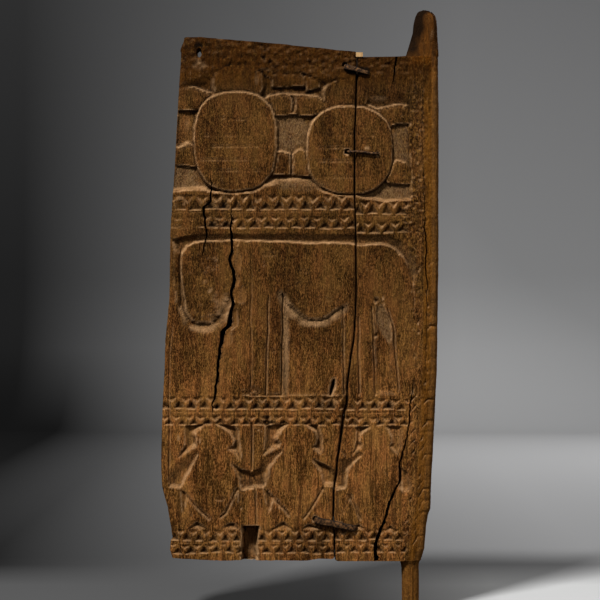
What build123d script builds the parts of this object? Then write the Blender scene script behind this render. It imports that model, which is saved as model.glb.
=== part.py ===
from build123d import *
import os

os.makedirs("parts", exist_ok=True)

# A carved plank door on two wooden pivots: a wide plank and a pivot plank, held edge to edge by
# three iron staples. Millimetres. The origin is on the bottom pivot's axis, where its round shank
# ends; +Z is up, the carved face looks along -Y and the free edge lies towards -X.

# Driving sizes: thickness
plank_thickness = 32.0
stile_thickness = 38.0
face_y = -stile_thickness / 2

# Driving sizes: heights of the carved registers, from the foot upwards
foot_z = 76.0
low_band_height = 48.0
lizard_height = 168.0
mid_band_height = 46.0
elephant_height = 266.0
high_band_height = 56.0
tortoise_height = 212.0
head_margin = 18.0
head_rise = 24.0
pivot_plank_step = 8.0

low_band_top = foot_z + low_band_height
lizard_top = low_band_top + lizard_height
mid_band_top = lizard_top + mid_band_height
elephant_top = mid_band_top + elephant_height
high_band_top = elephant_top + high_band_height
tortoise_top = high_band_top + tortoise_height
head_z = tortoise_top + head_margin
pivot_head_z = head_z - pivot_plank_step

# Driving sizes: widths, measured from the pivot axis
stile_reach = 45.0
stile_foot_reach = 20.0
joint_reach = 86.5
joint_gap = 3.5
joint_sweep = 37.5
wide_plank_width = 275.0
free_edge_lean = 39.0
free_edge_tuck = 18.0
corner_loss_width = 9.0
corner_loss_height = 21.0
arris_radius = 4.0
stile_round = 14.0

joint_head_x = -joint_reach
free_head_x = joint_head_x - wide_plank_width
free_widest_x = free_head_x - free_edge_lean
free_foot_x = free_widest_x + free_edge_tuck
field_left_x = free_head_x - 17.0

# Driving sizes: pivots
bottom_pivot_radius = 14.0
bottom_pivot_length = 50.0
bottom_pivot_toe = 4.0
top_pivot_radius = stile_thickness / 2
top_pivot_offset = 22.4
top_pivot_length = 24.0
top_pivot_dome = 16.0
horn_foot_width = 54.0
horn_taper_height = 36.0
bottom_foot_inset = 17.0
stile_back_inset = 9.0

top_pivot_z = pivot_head_z + horn_taper_height

# Driving sizes: shim
shim_width = 11.0
shim_height = 7.0
shim_depth = 20.0
shim_head_setback = 1.0
shim_tongue_setback = 6.0
shim_tongue_length = 28.0
shim_clearance = 0.2
shim_tongue_half = joint_gap / 2 - shim_clearance

# Driving sizes: carving
relief_depth = 6.0
limb_depth = 1.6
chip_depth = 4.0
stroke_depth = 3.0
line_width = 3.0
line_depth = 3.0

face_plane = Plane.XZ.offset(-face_y)


# The joint runs straight down from the head, then swings towards the free edge below the belly.
# Each bend: share of the sweep, height.
joint_bends = [
    (0.0, head_z + head_rise),
    (0.0, elephant_top),
    (0.0, mid_band_top + 0.6 * elephant_height),
    (-0.41, mid_band_top + 0.06 * elephant_height),
    (-0.60, lizard_top),
    (-0.88, low_band_top + 0.54 * lizard_height),
    (-1.0, low_band_top + 0.12 * lizard_height),
    (-0.93, foot_z - 20.0),
]
joint_line = [(joint_head_x + sweep * joint_sweep, z) for sweep, z in joint_bends]


# The stile's outer side, from the foot upwards
stile_line = [
    (stile_foot_reach, foot_z),
    (stile_reach - 18.0, low_band_top + 0.05 * lizard_height),
    (stile_reach - 11.0, low_band_top + 0.45 * lizard_height),
    (stile_reach - 3.5, mid_band_top - 5.0),
    (stile_reach + 1.0, elephant_top - 44.0),
    (stile_reach, pivot_head_z),
]


def x_along(line, z):
    """Place of a line of (x, z) points at a height, between the two points around it."""
    for first, last in zip(line, line[1:]):
        (lower_x, lower_z), (upper_x, upper_z) = sorted((first, last), key=lambda point: point[1])
        if lower_z <= z <= upper_z:
            return lower_x + (upper_x - lower_x) * (z - lower_z) / (upper_z - lower_z)
    return line[0][0]


def joint_x(z):
    """Place of the joint's middle at a height."""
    return x_along(joint_line, z)


def raised(foot, corners):
    """Corners given as (x, rise) points, with each rise measured from the foot's height."""
    return [(x, foot + rise) for x, rise in corners]


def joint_edge(side, top_z):
    """A plank's edge along the joint, from its head to the foot: side is -1 or 1."""
    bends = [(x, z) for x, z in joint_line if foot_z < z < top_z]
    edge = [(joint_x(top_z), top_z), *bends, (joint_x(foot_z), foot_z)]
    return [(x + side * joint_gap / 2, z) for x, z in edge]


def split_face(centre_line):
    """A drying split: a strip along a line of (x, z, width) points, pointed where the width is small."""
    left = [(x - width / 2, z) for x, z, width in centre_line]
    right = [(x + width / 2, z) for x, z, width in reversed(centre_line)]
    with BuildSketch(face_plane) as strip:
        with BuildLine():
            Polyline(*left, *right, close=True)
        make_face()
    return strip.sketch


def leg_line_face(ends):
    """A scored line between two (x, rise above the lizards' foot) points."""
    return split_face([(x, z, line_width) for x, z in raised(low_band_top, ends)])


# Register 1: two tortoises. Shells and heads keep the full height, the limbs stand a little lower and
# the ground lies lowest. Outlines are (x, rise above the register's foot) points.
shell_corner = 54.0
tortoises = [
    dict(shell=(-282.4, 87.0), shell_size=(130.0, 159.0), head=(-277.0, 180.0), head_size=(76.0, 54.0)),
    dict(shell=(-97.6, 73.0), shell_size=(134.0, 142.0), head=(-105.0, 158.0), head_size=(68.0, 52.0)),
]
tortoise_outline = [
    (-420, 176), (-383, 176), (-336, 191), (-300, 210), (-274, 212), (-240, 203), (-175, 199), (-149, 190),
    (-106, 188), (-84, 180), (-70, 169), (-3, 166), (-3, -8), (-45, -8), (-91, 2), (-142, 7), (-180, 18),
    (-215, 17), (-262, 7), (-330, 9), (-420, 7),
]
tortoise_limbs = [
    [(-425, 174), (-344, 173), (-312, 162), (-338, 140), (-425, 138)],
    [(-425, 73), (-385, 73), (-357, 85), (-342, 75), (-342, 47), (-425, 51)],
    [(-238, 152), (-225, 160), (-150, 158), (-124, 143), (-160, 129), (-214, 128)],
    [(-222, 71), (-194, 66), (-194, 34), (-222, 34)],
    [(-188, 65), (-178, 73), (-160, 67), (-160, 32), (-188, 34)],
    [(-234, 198), (-173, 197), (-171, 176), (-222, 175)],
    [(-169, 191), (-148, 187), (-148, 174), (-166, 169)],
    [(-76, 148), (-27, 144), (6, 144), (6, 116), (-46, 130)],
    [(-44, 36), (-21, 55), (6, 38), (6, 19), (-36, 20)],
]

with BuildSketch(face_plane) as tortoise_field:
    with BuildLine():
        Polyline(*raised(high_band_top, tortoise_outline), close=True)
    make_face()
    for tortoise in tortoises:
        with Locations(*raised(high_band_top, [tortoise["shell"]])):
            RectangleRounded(*tortoise["shell_size"], shell_corner, mode=Mode.SUBTRACT)
        with Locations(*raised(high_band_top, [tortoise["head"]])):
            Ellipse(tortoise["head_size"][0] / 2, tortoise["head_size"][1] / 2, mode=Mode.SUBTRACT)

with BuildSketch(face_plane) as limb_faces:
    for limb in tortoise_limbs:
        with BuildLine():
            Polyline(*raised(high_band_top, limb), close=True)
        make_face()
tortoise_ground = tortoise_field.sketch - limb_faces.sketch

# Register 2: one elephant. The ground is cut only around it: a moat over the back and around the
# head, the field under the belly, and the clefts between the legs.
elephant_back_z = elephant_top - 13.0
moat_width = 12.0
elephant_left_x = free_head_x - 6.0
elephant_right_x = 3.0
trunk_foot_z = mid_band_top + 0.46 * elephant_height
head_width = 79.5
head_right_x = elephant_left_x + head_width
belly_left_x = -204.0
belly_right_x = -110.0
belly_z = mid_band_top + 0.46 * elephant_height
belly_rise = 26.0
leg_foot_z = mid_band_top + 2.0

with BuildSketch(face_plane) as belly_ground:
    with BuildLine():
        belly_foot = Polyline(
            (belly_left_x, belly_z + belly_rise),
            (belly_left_x, leg_foot_z),
            (belly_right_x, leg_foot_z),
            (belly_right_x, belly_z + belly_rise * 0.7),
        )
        ThreePointArc(
            belly_foot @ 1,
            ((belly_left_x + belly_right_x) / 2 + 6.0, belly_z),
            belly_foot @ 0,
        )
    make_face()

with BuildSketch(face_plane) as back_moat:
    with BuildLine():
        moat_top = Polyline(
            (elephant_left_x - moat_width, elephant_back_z - 30.0),
            (elephant_left_x - moat_width, elephant_back_z + moat_width),
            (elephant_right_x - 30.0, elephant_back_z + moat_width),
        )
        moat_turn = TangentArc(
            moat_top @ 1,
            (elephant_right_x + 6.0, elephant_back_z - 80.0),
            tangent=(1, -0.25),
        )
        Line(moat_turn @ 1, (elephant_right_x - 3.0, elephant_back_z - 80.0))
        ThreePointArc(
            (elephant_right_x - 3.0, elephant_back_z - 80.0),
            (elephant_right_x - 16.0, elephant_back_z - 26.0),
            (elephant_right_x - 48.0, elephant_back_z - 6.0),
        )
        back_line = Line(
            (elephant_right_x - 48.0, elephant_back_z - 6.0),
            (elephant_left_x + 36.0, elephant_back_z),
        )
        ThreePointArc(
            back_line @ 1,
            (elephant_left_x + 10.0, elephant_back_z - 8.0),
            (elephant_left_x, elephant_back_z - 30.0),
        )
        Line((elephant_left_x, elephant_back_z - 30.0), moat_top @ 0)
    make_face()

with BuildSketch(face_plane) as trunk_moat:
    with BuildLine():
        trunk_outer = Spline(
            (elephant_left_x - moat_width, elephant_back_z - 29.0),
            (elephant_left_x - moat_width + 8.0, trunk_foot_z + 20.0),
            ((elephant_left_x + head_right_x) / 2, trunk_foot_z - 14.0),
            (head_right_x, trunk_foot_z + 24.0),
        )
        Line(trunk_outer @ 1, (head_right_x - 8.0, trunk_foot_z + 36.0))
        trunk_inner = Spline(
            (head_right_x - 8.0, trunk_foot_z + 36.0),
            ((elephant_left_x + head_right_x) / 2, trunk_foot_z),
            (elephant_left_x + 7.0, trunk_foot_z + 30.0),
            (elephant_left_x, elephant_back_z - 29.0),
        )
        Line(trunk_inner @ 1, trunk_outer @ 0)
    make_face()

# Clefts between the legs: (x, top height above the leg's foot, width)
leg_clefts = [
    (-257.0, 0.93, line_width),
    (-229.0, 0.60, line_width),
    (-83.0, 0.50, line_width),
    (-63.0, 0.55, line_width),
]
with BuildSketch(face_plane) as cleft_lines:
    for cleft_x, share, width in leg_clefts:
        cleft_height = share * (elephant_back_z - leg_foot_z)
        with Locations((cleft_x, leg_foot_z + cleft_height / 2)):
            Rectangle(width, cleft_height)

with BuildSketch(face_plane) as flank_hollow:
    with BuildLine():
        Polyline(
            (-58.0, leg_foot_z),
            (-58.0, leg_foot_z + 0.52 * elephant_height),
            (-44.0, leg_foot_z + 0.56 * elephant_height),
            (-34.0, leg_foot_z + 0.36 * elephant_height),
            (-24.0, leg_foot_z),
            close=True,
        )
    make_face()

# Register 3: three lizards side by side, each freed by wedges and notches of its own, with a scored
# line down the inner side of each hind leg. Outlines are (x, rise above the register's foot) points.
lizard_cuts = [
    [(-361, 167), (-328, 167), (-345, 154), (-341, 135), (-376, 112), (-362, 136)],
    [(-340, 130), (-376, 109), (-391, 90), (-388, 69), (-369, 66), (-352, 100), (-339, 123)],
    [(-314, 167), (-283, 167), (-273, 126), (-268, 103), (-295, 131), (-282, 143), (-290, 157)],
    [
        (-301, 123), (-268, 96), (-243, 100), (-238, 115), (-206, 132), (-226, 98), (-234, 69), (-272, 65),
        (-279, 92),
    ],
    [(-234, 167), (-195, 167), (-215, 146), (-207, 136), (-240, 118)],
    [(-180, 167), (-147, 167), (-142, 119), (-160, 134), (-152, 148)],
    [
        (-161, 119), (-124, 100), (-112, 115), (-99, 116), (-78, 125), (-99, 95), (-104, 66), (-139, 70),
        (-145, 93),
    ],
    [(-90, 165), (-60, 167), (-81, 152), (-78, 137), (-100, 116), (-88, 144)],
    [(-44, 166), (-14, 165), (-20, 117), (-35, 135)],
    [(-22, 108), (-4, 92), (-2, 64), (-19, 66)],
    [(-361, 2), (-342, 13), (-325, 2)],
    [(-308, 2), (-287, 11), (-274, 2)],
    [(-229, 2), (-205, 13), (-188, 2)],
    [(-177, 2), (-160, 10), (-144, 2)],
    [(-95, 2), (-84, 10), (-71, 2)],
]
hind_leg_lines = [
    [(-358, 54), (-323, 18)],
    [(-279, 66), (-306, 20)],
    [(-220, 54), (-195, 25)],
    [(-141, 68), (-172, 19)],
    [(-98, 56), (-80, 19)],
]

with BuildSketch(face_plane) as lizard_ground:
    for outline in lizard_cuts:
        with BuildLine():
            Polyline(*raised(low_band_top, outline), close=True)
        make_face()

# Splits: (x, z, width) down each line
long_split = [
    (-288.0, elephant_top + 15.0, 2.0),
    (-287.0, elephant_top - 30.0, 4.5),
    (-291.0, elephant_top - 50.0, 6.0),
    (-282.5, elephant_top - 78.0, 6.0),
    (-289.0, elephant_top - 140.0, 8.0),
    (-303.0, elephant_top - 160.0, 12.0),
    (-307.0, elephant_top - 200.0, 9.0),
    (-312.0, elephant_top - 250.0, 6.0),
    (-319.0, mid_band_top - 10.0, 2.5),
]
head_split = [
    (-320.0, high_band_top + 9.0, 1.5),
    (-321.6, high_band_top - 10.0, 3.6),
    (-332.8, high_band_top - 18.0, 4.5),
    (-330.4, high_band_top - 42.0, 3.4),
    (-326.4, elephant_top + 1.0, 3.4),
    (-329.6, elephant_top - 15.0, 2.4),
    (-334.4, elephant_top - 36.0, 1.5),
]
stile_split = [
    (0.0, mid_band_top, 2.0),
    (-6.0, lizard_top - 20.0, 3.0),
    (-18.0, lizard_top - 72.0, 3.5),
    (-36.0, low_band_top + 40.0, 5.0),
    (-56.0, low_band_top - 24.0, 5.5),
    (-55.0, foot_z - 10.0, 5.5),
]
head_check = [
    (-23.6, pivot_head_z + 2.0, 3.0),
    (-24.0, pivot_head_z - 7.0, 3.0),
    (-27.0, pivot_head_z - 31.0, 2.4),
    (-32.0, pivot_head_z - 53.0, 1.0),
]
stile_check = [
    (18.6, high_band_top + 120.0, 1.0),
    (20.8, high_band_top + 9.0, 2.4),
    (23.0, elephant_top + 21.0, 2.8),
    (25.6, elephant_top - 38.0, 2.2),
    (26.0, elephant_top - 134.0, 1.6),
    (24.5, elephant_top - 204.0, 1.0),
]
head_split_depth = 22.0
head_check_depth = 14.0
stile_check_depth = 9.0

# Losses and holes
tie_hole_width = 9.6
tie_hole_height = 15.0
tie_hole_inset = 22.0
tie_hole_drop = 25.0
sill_notch_width = 26.5
sill_notch_height = 50.0
sill_notch_depth = 20.0
sill_notch_x = -256.0
lock_slot_width = 7.0
lock_slot_height = 25.0
lock_slot_depth = 18.0
lock_slot_inset = 24.0
lock_slot_z = mid_band_top + 12.0
sill_web = 4.0
tie_hole_x = free_head_x + tie_hole_inset
tie_hole_z = head_z + head_rise - tie_hole_drop

# Chip carving: rows of triangular V-cut chips. Every band has two pairs of rows; in a pair the chips hang
# from the upper line and stand on the lower one, half a pitch apart, and leave a zigzag between them.
# Each row: share of the band's height at the base, the same at the tip, shift in pitches.
chip_pitch = 21.0
chip_share = 0.82
chip_margin = 2.0
chip_rows = ((1.0, 0.76, 0.0), (0.60, 0.91, 0.5), (0.42, 0.24, 0.0), (0.08, 0.33, 0.5))
bands = ((foot_z, low_band_height), (lizard_top, mid_band_height), (elephant_top, high_band_height))


def v_cuts(outlines, depth):
    """Faceted cuts: every outline of (x, z) corners runs down to a point under its middle."""
    cuts = []
    for outline in outlines:
        rim = [Vector(x, face_y, z) for x, z in outline]
        middle = sum(rim, Vector(0, 0, 0)) / len(rim)
        lowest = Vector(middle.X, face_y + depth, middle.Z)
        sides = zip(rim, rim[1:] + rim[:1])
        walls = [Face(Wire.make_polygon([first, second, lowest])) for first, second in sides]
        cuts.append(Solid(Shell([*walls, Face(Wire.make_polygon(rim))])))
    return cuts


def chip_bands(side, end_x):
    """The chips of all three bands on one plank, set out from the joint towards end_x."""
    half = chip_share * chip_pitch / 2
    outlines = []
    for band_foot_z, band_height in bands:
        for base_share, tip_share, shift in chip_rows:
            base_z = band_foot_z + base_share * band_height
            tip_z = band_foot_z + tip_share * band_height
            start_x = joint_x(base_z) + side * (joint_gap / 2 + chip_margin + shift * chip_pitch)
            for number in range(int(abs(end_x - start_x) / chip_pitch)):
                middle_x = start_x + side * (number + 0.5) * chip_pitch
                outlines.append([(middle_x - half, base_z), (middle_x + half, base_z), (middle_x, tip_z)])
    return v_cuts(outlines, chip_depth)


# The upright border on the stile: two columns of short V-cut strokes, each column given by the insets of
# its two sides from the stile's outer side. Each stretch: first height, last height, pitch, rise outwards.
border_columns = ((46.0, 32.0), (26.0, 15.0))
stroke_width = 4.4
border_stretches = (
    (foot_z + 16.0, lizard_top + 8.0, 19.0, 8.0),
    (lizard_top + 26.0, elephant_top - 36.0, 17.4, 0.0),
    (elephant_top - 16.0, pivot_head_z - 18.0, 11.4, -6.0),
)


def border_strokes():
    """The strokes of both columns, from the foot to the head."""
    outlines = []
    for inner_inset, outer_inset in border_columns:
        for first_z, last_z, pitch, rise in border_stretches:
            for number in range(int((last_z - first_z) / pitch) + 1):
                stroke_z = first_z + number * pitch
                inner_x = x_along(stile_line, stroke_z) - inner_inset
                outer_x = x_along(stile_line, stroke_z) - outer_inset
                outlines.append([
                    (inner_x, stroke_z - rise / 2 - stroke_width / 2),
                    (outer_x, stroke_z + rise / 2 - stroke_width / 2),
                    (outer_x, stroke_z + rise / 2 + stroke_width / 2),
                    (inner_x, stroke_z - rise / 2 + stroke_width / 2),
                ])
    return v_cuts(outlines, stroke_depth)


# Staples: height, shift of the middle from the joint, distance between the legs, slant in degrees
# (down to the right is positive), width of the bar and its thickness; for the wire, its radius, the
# eased corner and the play in its holes
staple_clearance = 0.2
staple_seat = 0.3
clinch_length = 14.0
flat_staples = {
    "staple_top": dict(z=pivot_head_z - 21.0, shift=0.0, span=39.0, slant=15.5, width=8.8, thickness=4.0),
    "staple_bottom": dict(z=low_band_top + 10.0, shift=3.0, span=65.0, slant=12.0, width=11.5, thickness=5.0),
}
wire_staple = dict(z=high_band_top + 68.5, shift=10.0, span=49.0, slant=5.0, radius=2.1, bend=2.0, play=0.7)


def staple_plane(size):
    """A plane square to the face, along the staple's crown; its y runs into the wood."""
    middle = Vector(joint_x(size["z"]) + size["shift"], face_y, size["z"])
    along = Vector(1, 0, 0).rotate(Axis.Y, size["slant"])
    return Plane(origin=middle, x_dir=along, z_dir=along.cross(Vector(0, 1, 0)))


def leg_slots(size):
    """The two slots that a flat staple's legs pass through."""
    with BuildSketch(staple_plane(size)) as slot_faces:
        with Locations((0, plank_thickness / 2)):
            with GridLocations(size["span"], 0, 2, 1):
                Rectangle(size["thickness"] + 2 * staple_clearance, plank_thickness + 8.0)
    with BuildPart() as slots:
        extrude(slot_faces.sketch, amount=size["width"] / 2 + staple_clearance, both=True)
    return slots.part


def wire_holes(size):
    """The two round holes that the wire staple's legs pass through."""
    along = staple_plane(size)
    with BuildPart() as holes:
        with BuildSketch(Plane(origin=along.origin, x_dir=along.x_dir, z_dir=(0, 1, 0))):
            with GridLocations(size["span"], 0, 2, 1):
                Circle(size["radius"] + size["play"])
        extrude(amount=plank_thickness + staple_seat, both=True)
    return holes.part


def wire_path(size):
    """Points along the middle of the wire staple, clinch to clinch, with its corners eased."""
    out = -staple_seat - size["radius"]
    far = plank_thickness + staple_seat + size["radius"]
    half = size["span"] / 2
    bend = size["bend"]
    left_side = [
        (-half + clinch_length, far),
        (-half + bend, far),
        (-half, far - bend),
        (-half, out + bend),
        (-half + bend, out),
    ]
    return left_side + [(-x, y) for x, y in reversed(left_side)]


# Wide plank
with BuildPart() as wide_plank:
    with BuildSketch(face_plane):
        with BuildLine():
            wide_joint = Polyline(*joint_edge(-1, head_z))
            foot = Line(wide_joint @ 1, (free_foot_x, foot_z))
            Polyline(
                foot @ 1,
                (free_foot_x - 4.0, low_band_top + 0.08 * lizard_height),
                (free_widest_x + 2.0, low_band_top + 0.40 * lizard_height),
                (free_widest_x, low_band_top + 0.63 * lizard_height),
                (free_head_x - corner_loss_width, head_z + head_rise - corner_loss_height),
                (free_head_x, head_z + head_rise),
                wide_joint @ 0,
            )
        make_face()
    extrude(amount=-plank_thickness)
    outer_faces = wide_plank.faces().filter_by_position(Axis.X, free_widest_x - 5, free_head_x + 5)
    arrises = [edge for face in outer_faces for edge in face.edges() if abs(edge.tangent_at(0.5).Y) < 0.5]
    fillet([edge for edge in arrises if edge.length > 30], arris_radius)
    for ground in (belly_ground, back_moat, trunk_moat, lizard_ground):
        extrude(ground.sketch, amount=-relief_depth, mode=Mode.SUBTRACT)
    extrude(tortoise_ground, amount=-relief_depth, mode=Mode.SUBTRACT)
    extrude(tortoise_field.sketch, amount=-limb_depth, mode=Mode.SUBTRACT)
    extrude(cleft_lines.sketch, amount=-line_depth, mode=Mode.SUBTRACT)
    for leg_line in hind_leg_lines:
        extrude(leg_line_face(leg_line), amount=-line_depth, mode=Mode.SUBTRACT)
    add(chip_bands(-1, field_left_x), mode=Mode.SUBTRACT)
    extrude(split_face(long_split), amount=-plank_thickness, mode=Mode.SUBTRACT)
    extrude(split_face(head_split), amount=-head_split_depth, mode=Mode.SUBTRACT)
    with BuildSketch(face_plane):
        with Locations((tie_hole_x, tie_hole_z)):
            Ellipse(tie_hole_width / 2, tie_hole_height / 2)
    extrude(amount=-plank_thickness, mode=Mode.SUBTRACT)
    with BuildSketch(face_plane):
        with Locations((sill_notch_x, foot_z + sill_notch_height / 2 + sill_web)):
            Rectangle(sill_notch_width, sill_notch_height)
        with Locations((sill_notch_x, foot_z + sill_web / 2)):
            Rectangle(sill_notch_width, sill_web)
    extrude(amount=-sill_notch_depth, mode=Mode.SUBTRACT)
    with BuildSketch(face_plane):
        with Locations((joint_x(lock_slot_z) - lock_slot_inset, lock_slot_z)):
            SlotOverall(lock_slot_height, lock_slot_width, rotation=84)
    extrude(amount=-lock_slot_depth, mode=Mode.SUBTRACT)
    for size in flat_staples.values():
        add(leg_slots(size), mode=Mode.SUBTRACT)
    add(wire_holes(wire_staple), mode=Mode.SUBTRACT)
wide_plank.part.label = "wide_plank"
export_step(wide_plank.part, "parts/wide_plank.step")

# Pivot plank: a panel and its thicker rounded stile, with the top horn and the bottom pivot cut
# from the same wood
with BuildPart() as pivot_plank:
    with BuildSketch(face_plane):
        with BuildLine():
            stile_side = Polyline(*stile_line)
            Polyline(
                stile_side @ 1,
                (-stile_back_inset, pivot_head_z),
                (-stile_back_inset, lizard_top),
                (-bottom_foot_inset, foot_z),
                stile_side @ 0,
            )
        make_face()
    extrude(amount=-stile_thickness)
    upright_edges = [edge for edge in pivot_plank.edges() if abs(edge.tangent_at(0.5).Z) > 0.5]
    fillet([edge for edge in upright_edges if edge.center().X > stile_foot_reach], stile_round)
    with BuildSketch(face_plane):
        with BuildLine():
            pivot_joint = Polyline(*joint_edge(1, pivot_head_z))
            Polyline(
                pivot_joint @ 1,
                (0.0, foot_z),
                (0.0, pivot_head_z),
                pivot_joint @ 0,
            )
        make_face()
    extrude(amount=-plank_thickness)
    with BuildSketch(Plane.XY.offset(pivot_head_z)):
        with Locations((stile_reach - horn_foot_width / 2, 0)):
            Ellipse(horn_foot_width / 2 - 0.5, stile_thickness / 2 - 0.5)
    with BuildSketch(Plane.XY.offset(top_pivot_z)):
        with Locations((top_pivot_offset, 0)):
            Circle(top_pivot_radius)
    loft()
    with BuildSketch(Plane.XY.offset(top_pivot_z)):
        with Locations((top_pivot_offset, 0)):
            Circle(top_pivot_radius)
    extrude(amount=top_pivot_length + top_pivot_dome)
    fillet(pivot_plank.edges().group_by(Axis.Z)[-1], top_pivot_dome)
    with BuildSketch(Plane.XY.offset(foot_z)):
        with Locations(((stile_foot_reach - bottom_foot_inset) / 2, 0)):
            Ellipse((stile_foot_reach + bottom_foot_inset) / 2 - 0.5, stile_thickness / 2 - 0.5)
    with BuildSketch(Plane.XY.offset(bottom_pivot_length)):
        Circle(bottom_pivot_radius)
    loft()
    with BuildSketch(Plane.XY.offset(-bottom_pivot_toe)):
        Circle(bottom_pivot_radius)
    extrude(amount=bottom_pivot_length + bottom_pivot_toe)
    chamfer(pivot_plank.edges().group_by(Axis.Z)[0], bottom_pivot_toe)
    for ground in (back_moat, lizard_ground, flank_hollow):
        extrude(ground.sketch, amount=-relief_depth, mode=Mode.SUBTRACT)
    extrude(tortoise_ground, amount=-relief_depth, mode=Mode.SUBTRACT)
    extrude(tortoise_field.sketch, amount=-limb_depth, mode=Mode.SUBTRACT)
    extrude(cleft_lines.sketch, amount=-line_depth, mode=Mode.SUBTRACT)
    for leg_line in hind_leg_lines:
        extrude(leg_line_face(leg_line), amount=-line_depth, mode=Mode.SUBTRACT)
    add(chip_bands(1, -chip_margin), mode=Mode.SUBTRACT)
    add(border_strokes(), mode=Mode.SUBTRACT)
    extrude(split_face(stile_split), amount=-stile_thickness, mode=Mode.SUBTRACT)
    extrude(split_face(head_check), amount=-head_check_depth, mode=Mode.SUBTRACT)
    extrude(split_face(stile_check), amount=-stile_check_depth, mode=Mode.SUBTRACT)
    for size in flat_staples.values():
        add(leg_slots(size), mode=Mode.SUBTRACT)
    add(wire_holes(wire_staple), mode=Mode.SUBTRACT)
pivot_plank.part.label = "pivot_plank"
export_step(pivot_plank.part, "parts/pivot_plank.step")

# Flat forged staples: a crown on the face, two legs through the planks, tips clinched on the back
for name, size in flat_staples.items():
    bar = size["thickness"]
    leg_length = plank_thickness + 2 * staple_seat + 2 * bar
    with BuildPart() as flat_staple:
        with BuildSketch(staple_plane(size)):
            with Locations((0, -staple_seat - bar / 2)):
                Rectangle(size["span"] + bar, bar)
            with GridLocations(size["span"], 0, 2, 1):
                with Locations((0, plank_thickness / 2)):
                    Rectangle(bar, leg_length)
            for side in (-1, 1):
                tip_x = side * (size["span"] / 2 + bar / 2 - clinch_length / 2)
                with Locations((tip_x, plank_thickness + staple_seat + bar / 2)):
                    Rectangle(clinch_length, bar)
        extrude(amount=size["width"] / 2, both=True)
    flat_staple.part.label = name
    export_step(flat_staple.part, f"parts/{name}.step")

# Middle staple, bent from round wire
with BuildPart() as staple_middle:
    with BuildLine(staple_plane(wire_staple)) as path:
        Polyline(*wire_path(wire_staple))
    with BuildSketch(Plane(origin=path.line @ 0, z_dir=path.line % 0)):
        Circle(wire_staple["radius"])
    sweep(transition=Transition.RIGHT)
staple_middle.part.label = "staple_middle"
export_step(staple_middle.part, "parts/staple_middle.step")

# Shim: a pale wedge in the head of the joint, its head resting on the pivot plank's end grain
with BuildPart() as joint_shim:
    with BuildSketch(face_plane.offset(-shim_head_setback)):
        with Locations((joint_head_x - joint_gap / 2 + shim_clearance, pivot_head_z + shim_clearance)):
            Rectangle(shim_width, shim_height, align=(Align.MIN, Align.MIN))
    extrude(amount=-shim_depth)
    with BuildSketch(face_plane.offset(-shim_tongue_setback)):
        with BuildLine():
            tongue_top_z = pivot_head_z + shim_height / 2
            Polyline(
                (joint_head_x - shim_tongue_half, tongue_top_z),
                (joint_head_x - shim_tongue_half / 2, pivot_head_z - shim_tongue_length),
                (joint_head_x + shim_tongue_half / 2, pivot_head_z - shim_tongue_length),
                (joint_head_x + shim_tongue_half, tongue_top_z),
                close=True,
            )
        make_face()
    extrude(amount=-(shim_depth + shim_head_setback - shim_tongue_setback))
joint_shim.part.label = "joint_shim"
export_step(joint_shim.part, "parts/joint_shim.step")
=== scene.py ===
import bpy
import numpy as np
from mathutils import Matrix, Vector


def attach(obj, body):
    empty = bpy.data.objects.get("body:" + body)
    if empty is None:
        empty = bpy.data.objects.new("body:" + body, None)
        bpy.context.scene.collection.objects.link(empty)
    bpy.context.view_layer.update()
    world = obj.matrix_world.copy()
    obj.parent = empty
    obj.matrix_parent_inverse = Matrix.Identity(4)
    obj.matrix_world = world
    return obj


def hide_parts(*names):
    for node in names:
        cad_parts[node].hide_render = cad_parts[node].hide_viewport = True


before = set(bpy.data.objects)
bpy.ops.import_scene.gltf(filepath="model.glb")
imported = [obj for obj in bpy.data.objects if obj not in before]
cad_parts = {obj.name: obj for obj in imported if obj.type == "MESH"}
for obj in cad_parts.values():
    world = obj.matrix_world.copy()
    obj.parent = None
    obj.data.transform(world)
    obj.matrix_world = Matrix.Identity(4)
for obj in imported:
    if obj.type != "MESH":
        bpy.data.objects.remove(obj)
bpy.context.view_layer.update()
mm = 0.001
print("frame loaded:", sorted(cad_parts))

# Shapes are worked out in millimetres: x from the pivot axis to the right, z up from the end of the peg's
# straight part, and depth into the wood from the carved face. A mesh is made metres when it is written.


# Adds an object with the given data to the scene.
def addObject(name, data):
    item = bpy.data.objects.new(name, data)
    bpy.context.scene.collection.objects.link(item)
    return item


# Camera: looks straight at the carved face
cameraSet = dict(distance=3000.0, middle=(-177.6, -19.0, 492.8), frameSize=960.0, sensor=36.0)
cameraData = bpy.data.cameras.new("camera")
cameraData.sensor_width = cameraSet["sensor"]
cameraData.lens = cameraSet["sensor"] * cameraSet["distance"] / cameraSet["frameSize"]
camera = addObject("camera", cameraData)
camera.location = (np.array(cameraSet["middle"]) - np.array((0.0, cameraSet["distance"], 0.0))) * mm
camera.rotation_euler = (np.pi / 2, 0, 0)
bpy.context.scene.camera = camera


# Keeps shares between 0 and 1.
def clipped(t):
    return np.clip(t, 0.0, 1.0)


# Smooth step: 0 below 0, 1 above 1, and three t squared less two t cubed between.
def ease(t):
    t = clipped(t)
    return t * t * (3.0 - 2.0 * t)


# The smooth step's mirror: 1 below 0 and 0 above 1.
def fade(t):
    return 1.0 - ease(t)


# A power that keeps the sign of the value, for superellipses.
def signedPower(value, power):
    return np.sign(value) * np.abs(value) ** power


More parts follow.
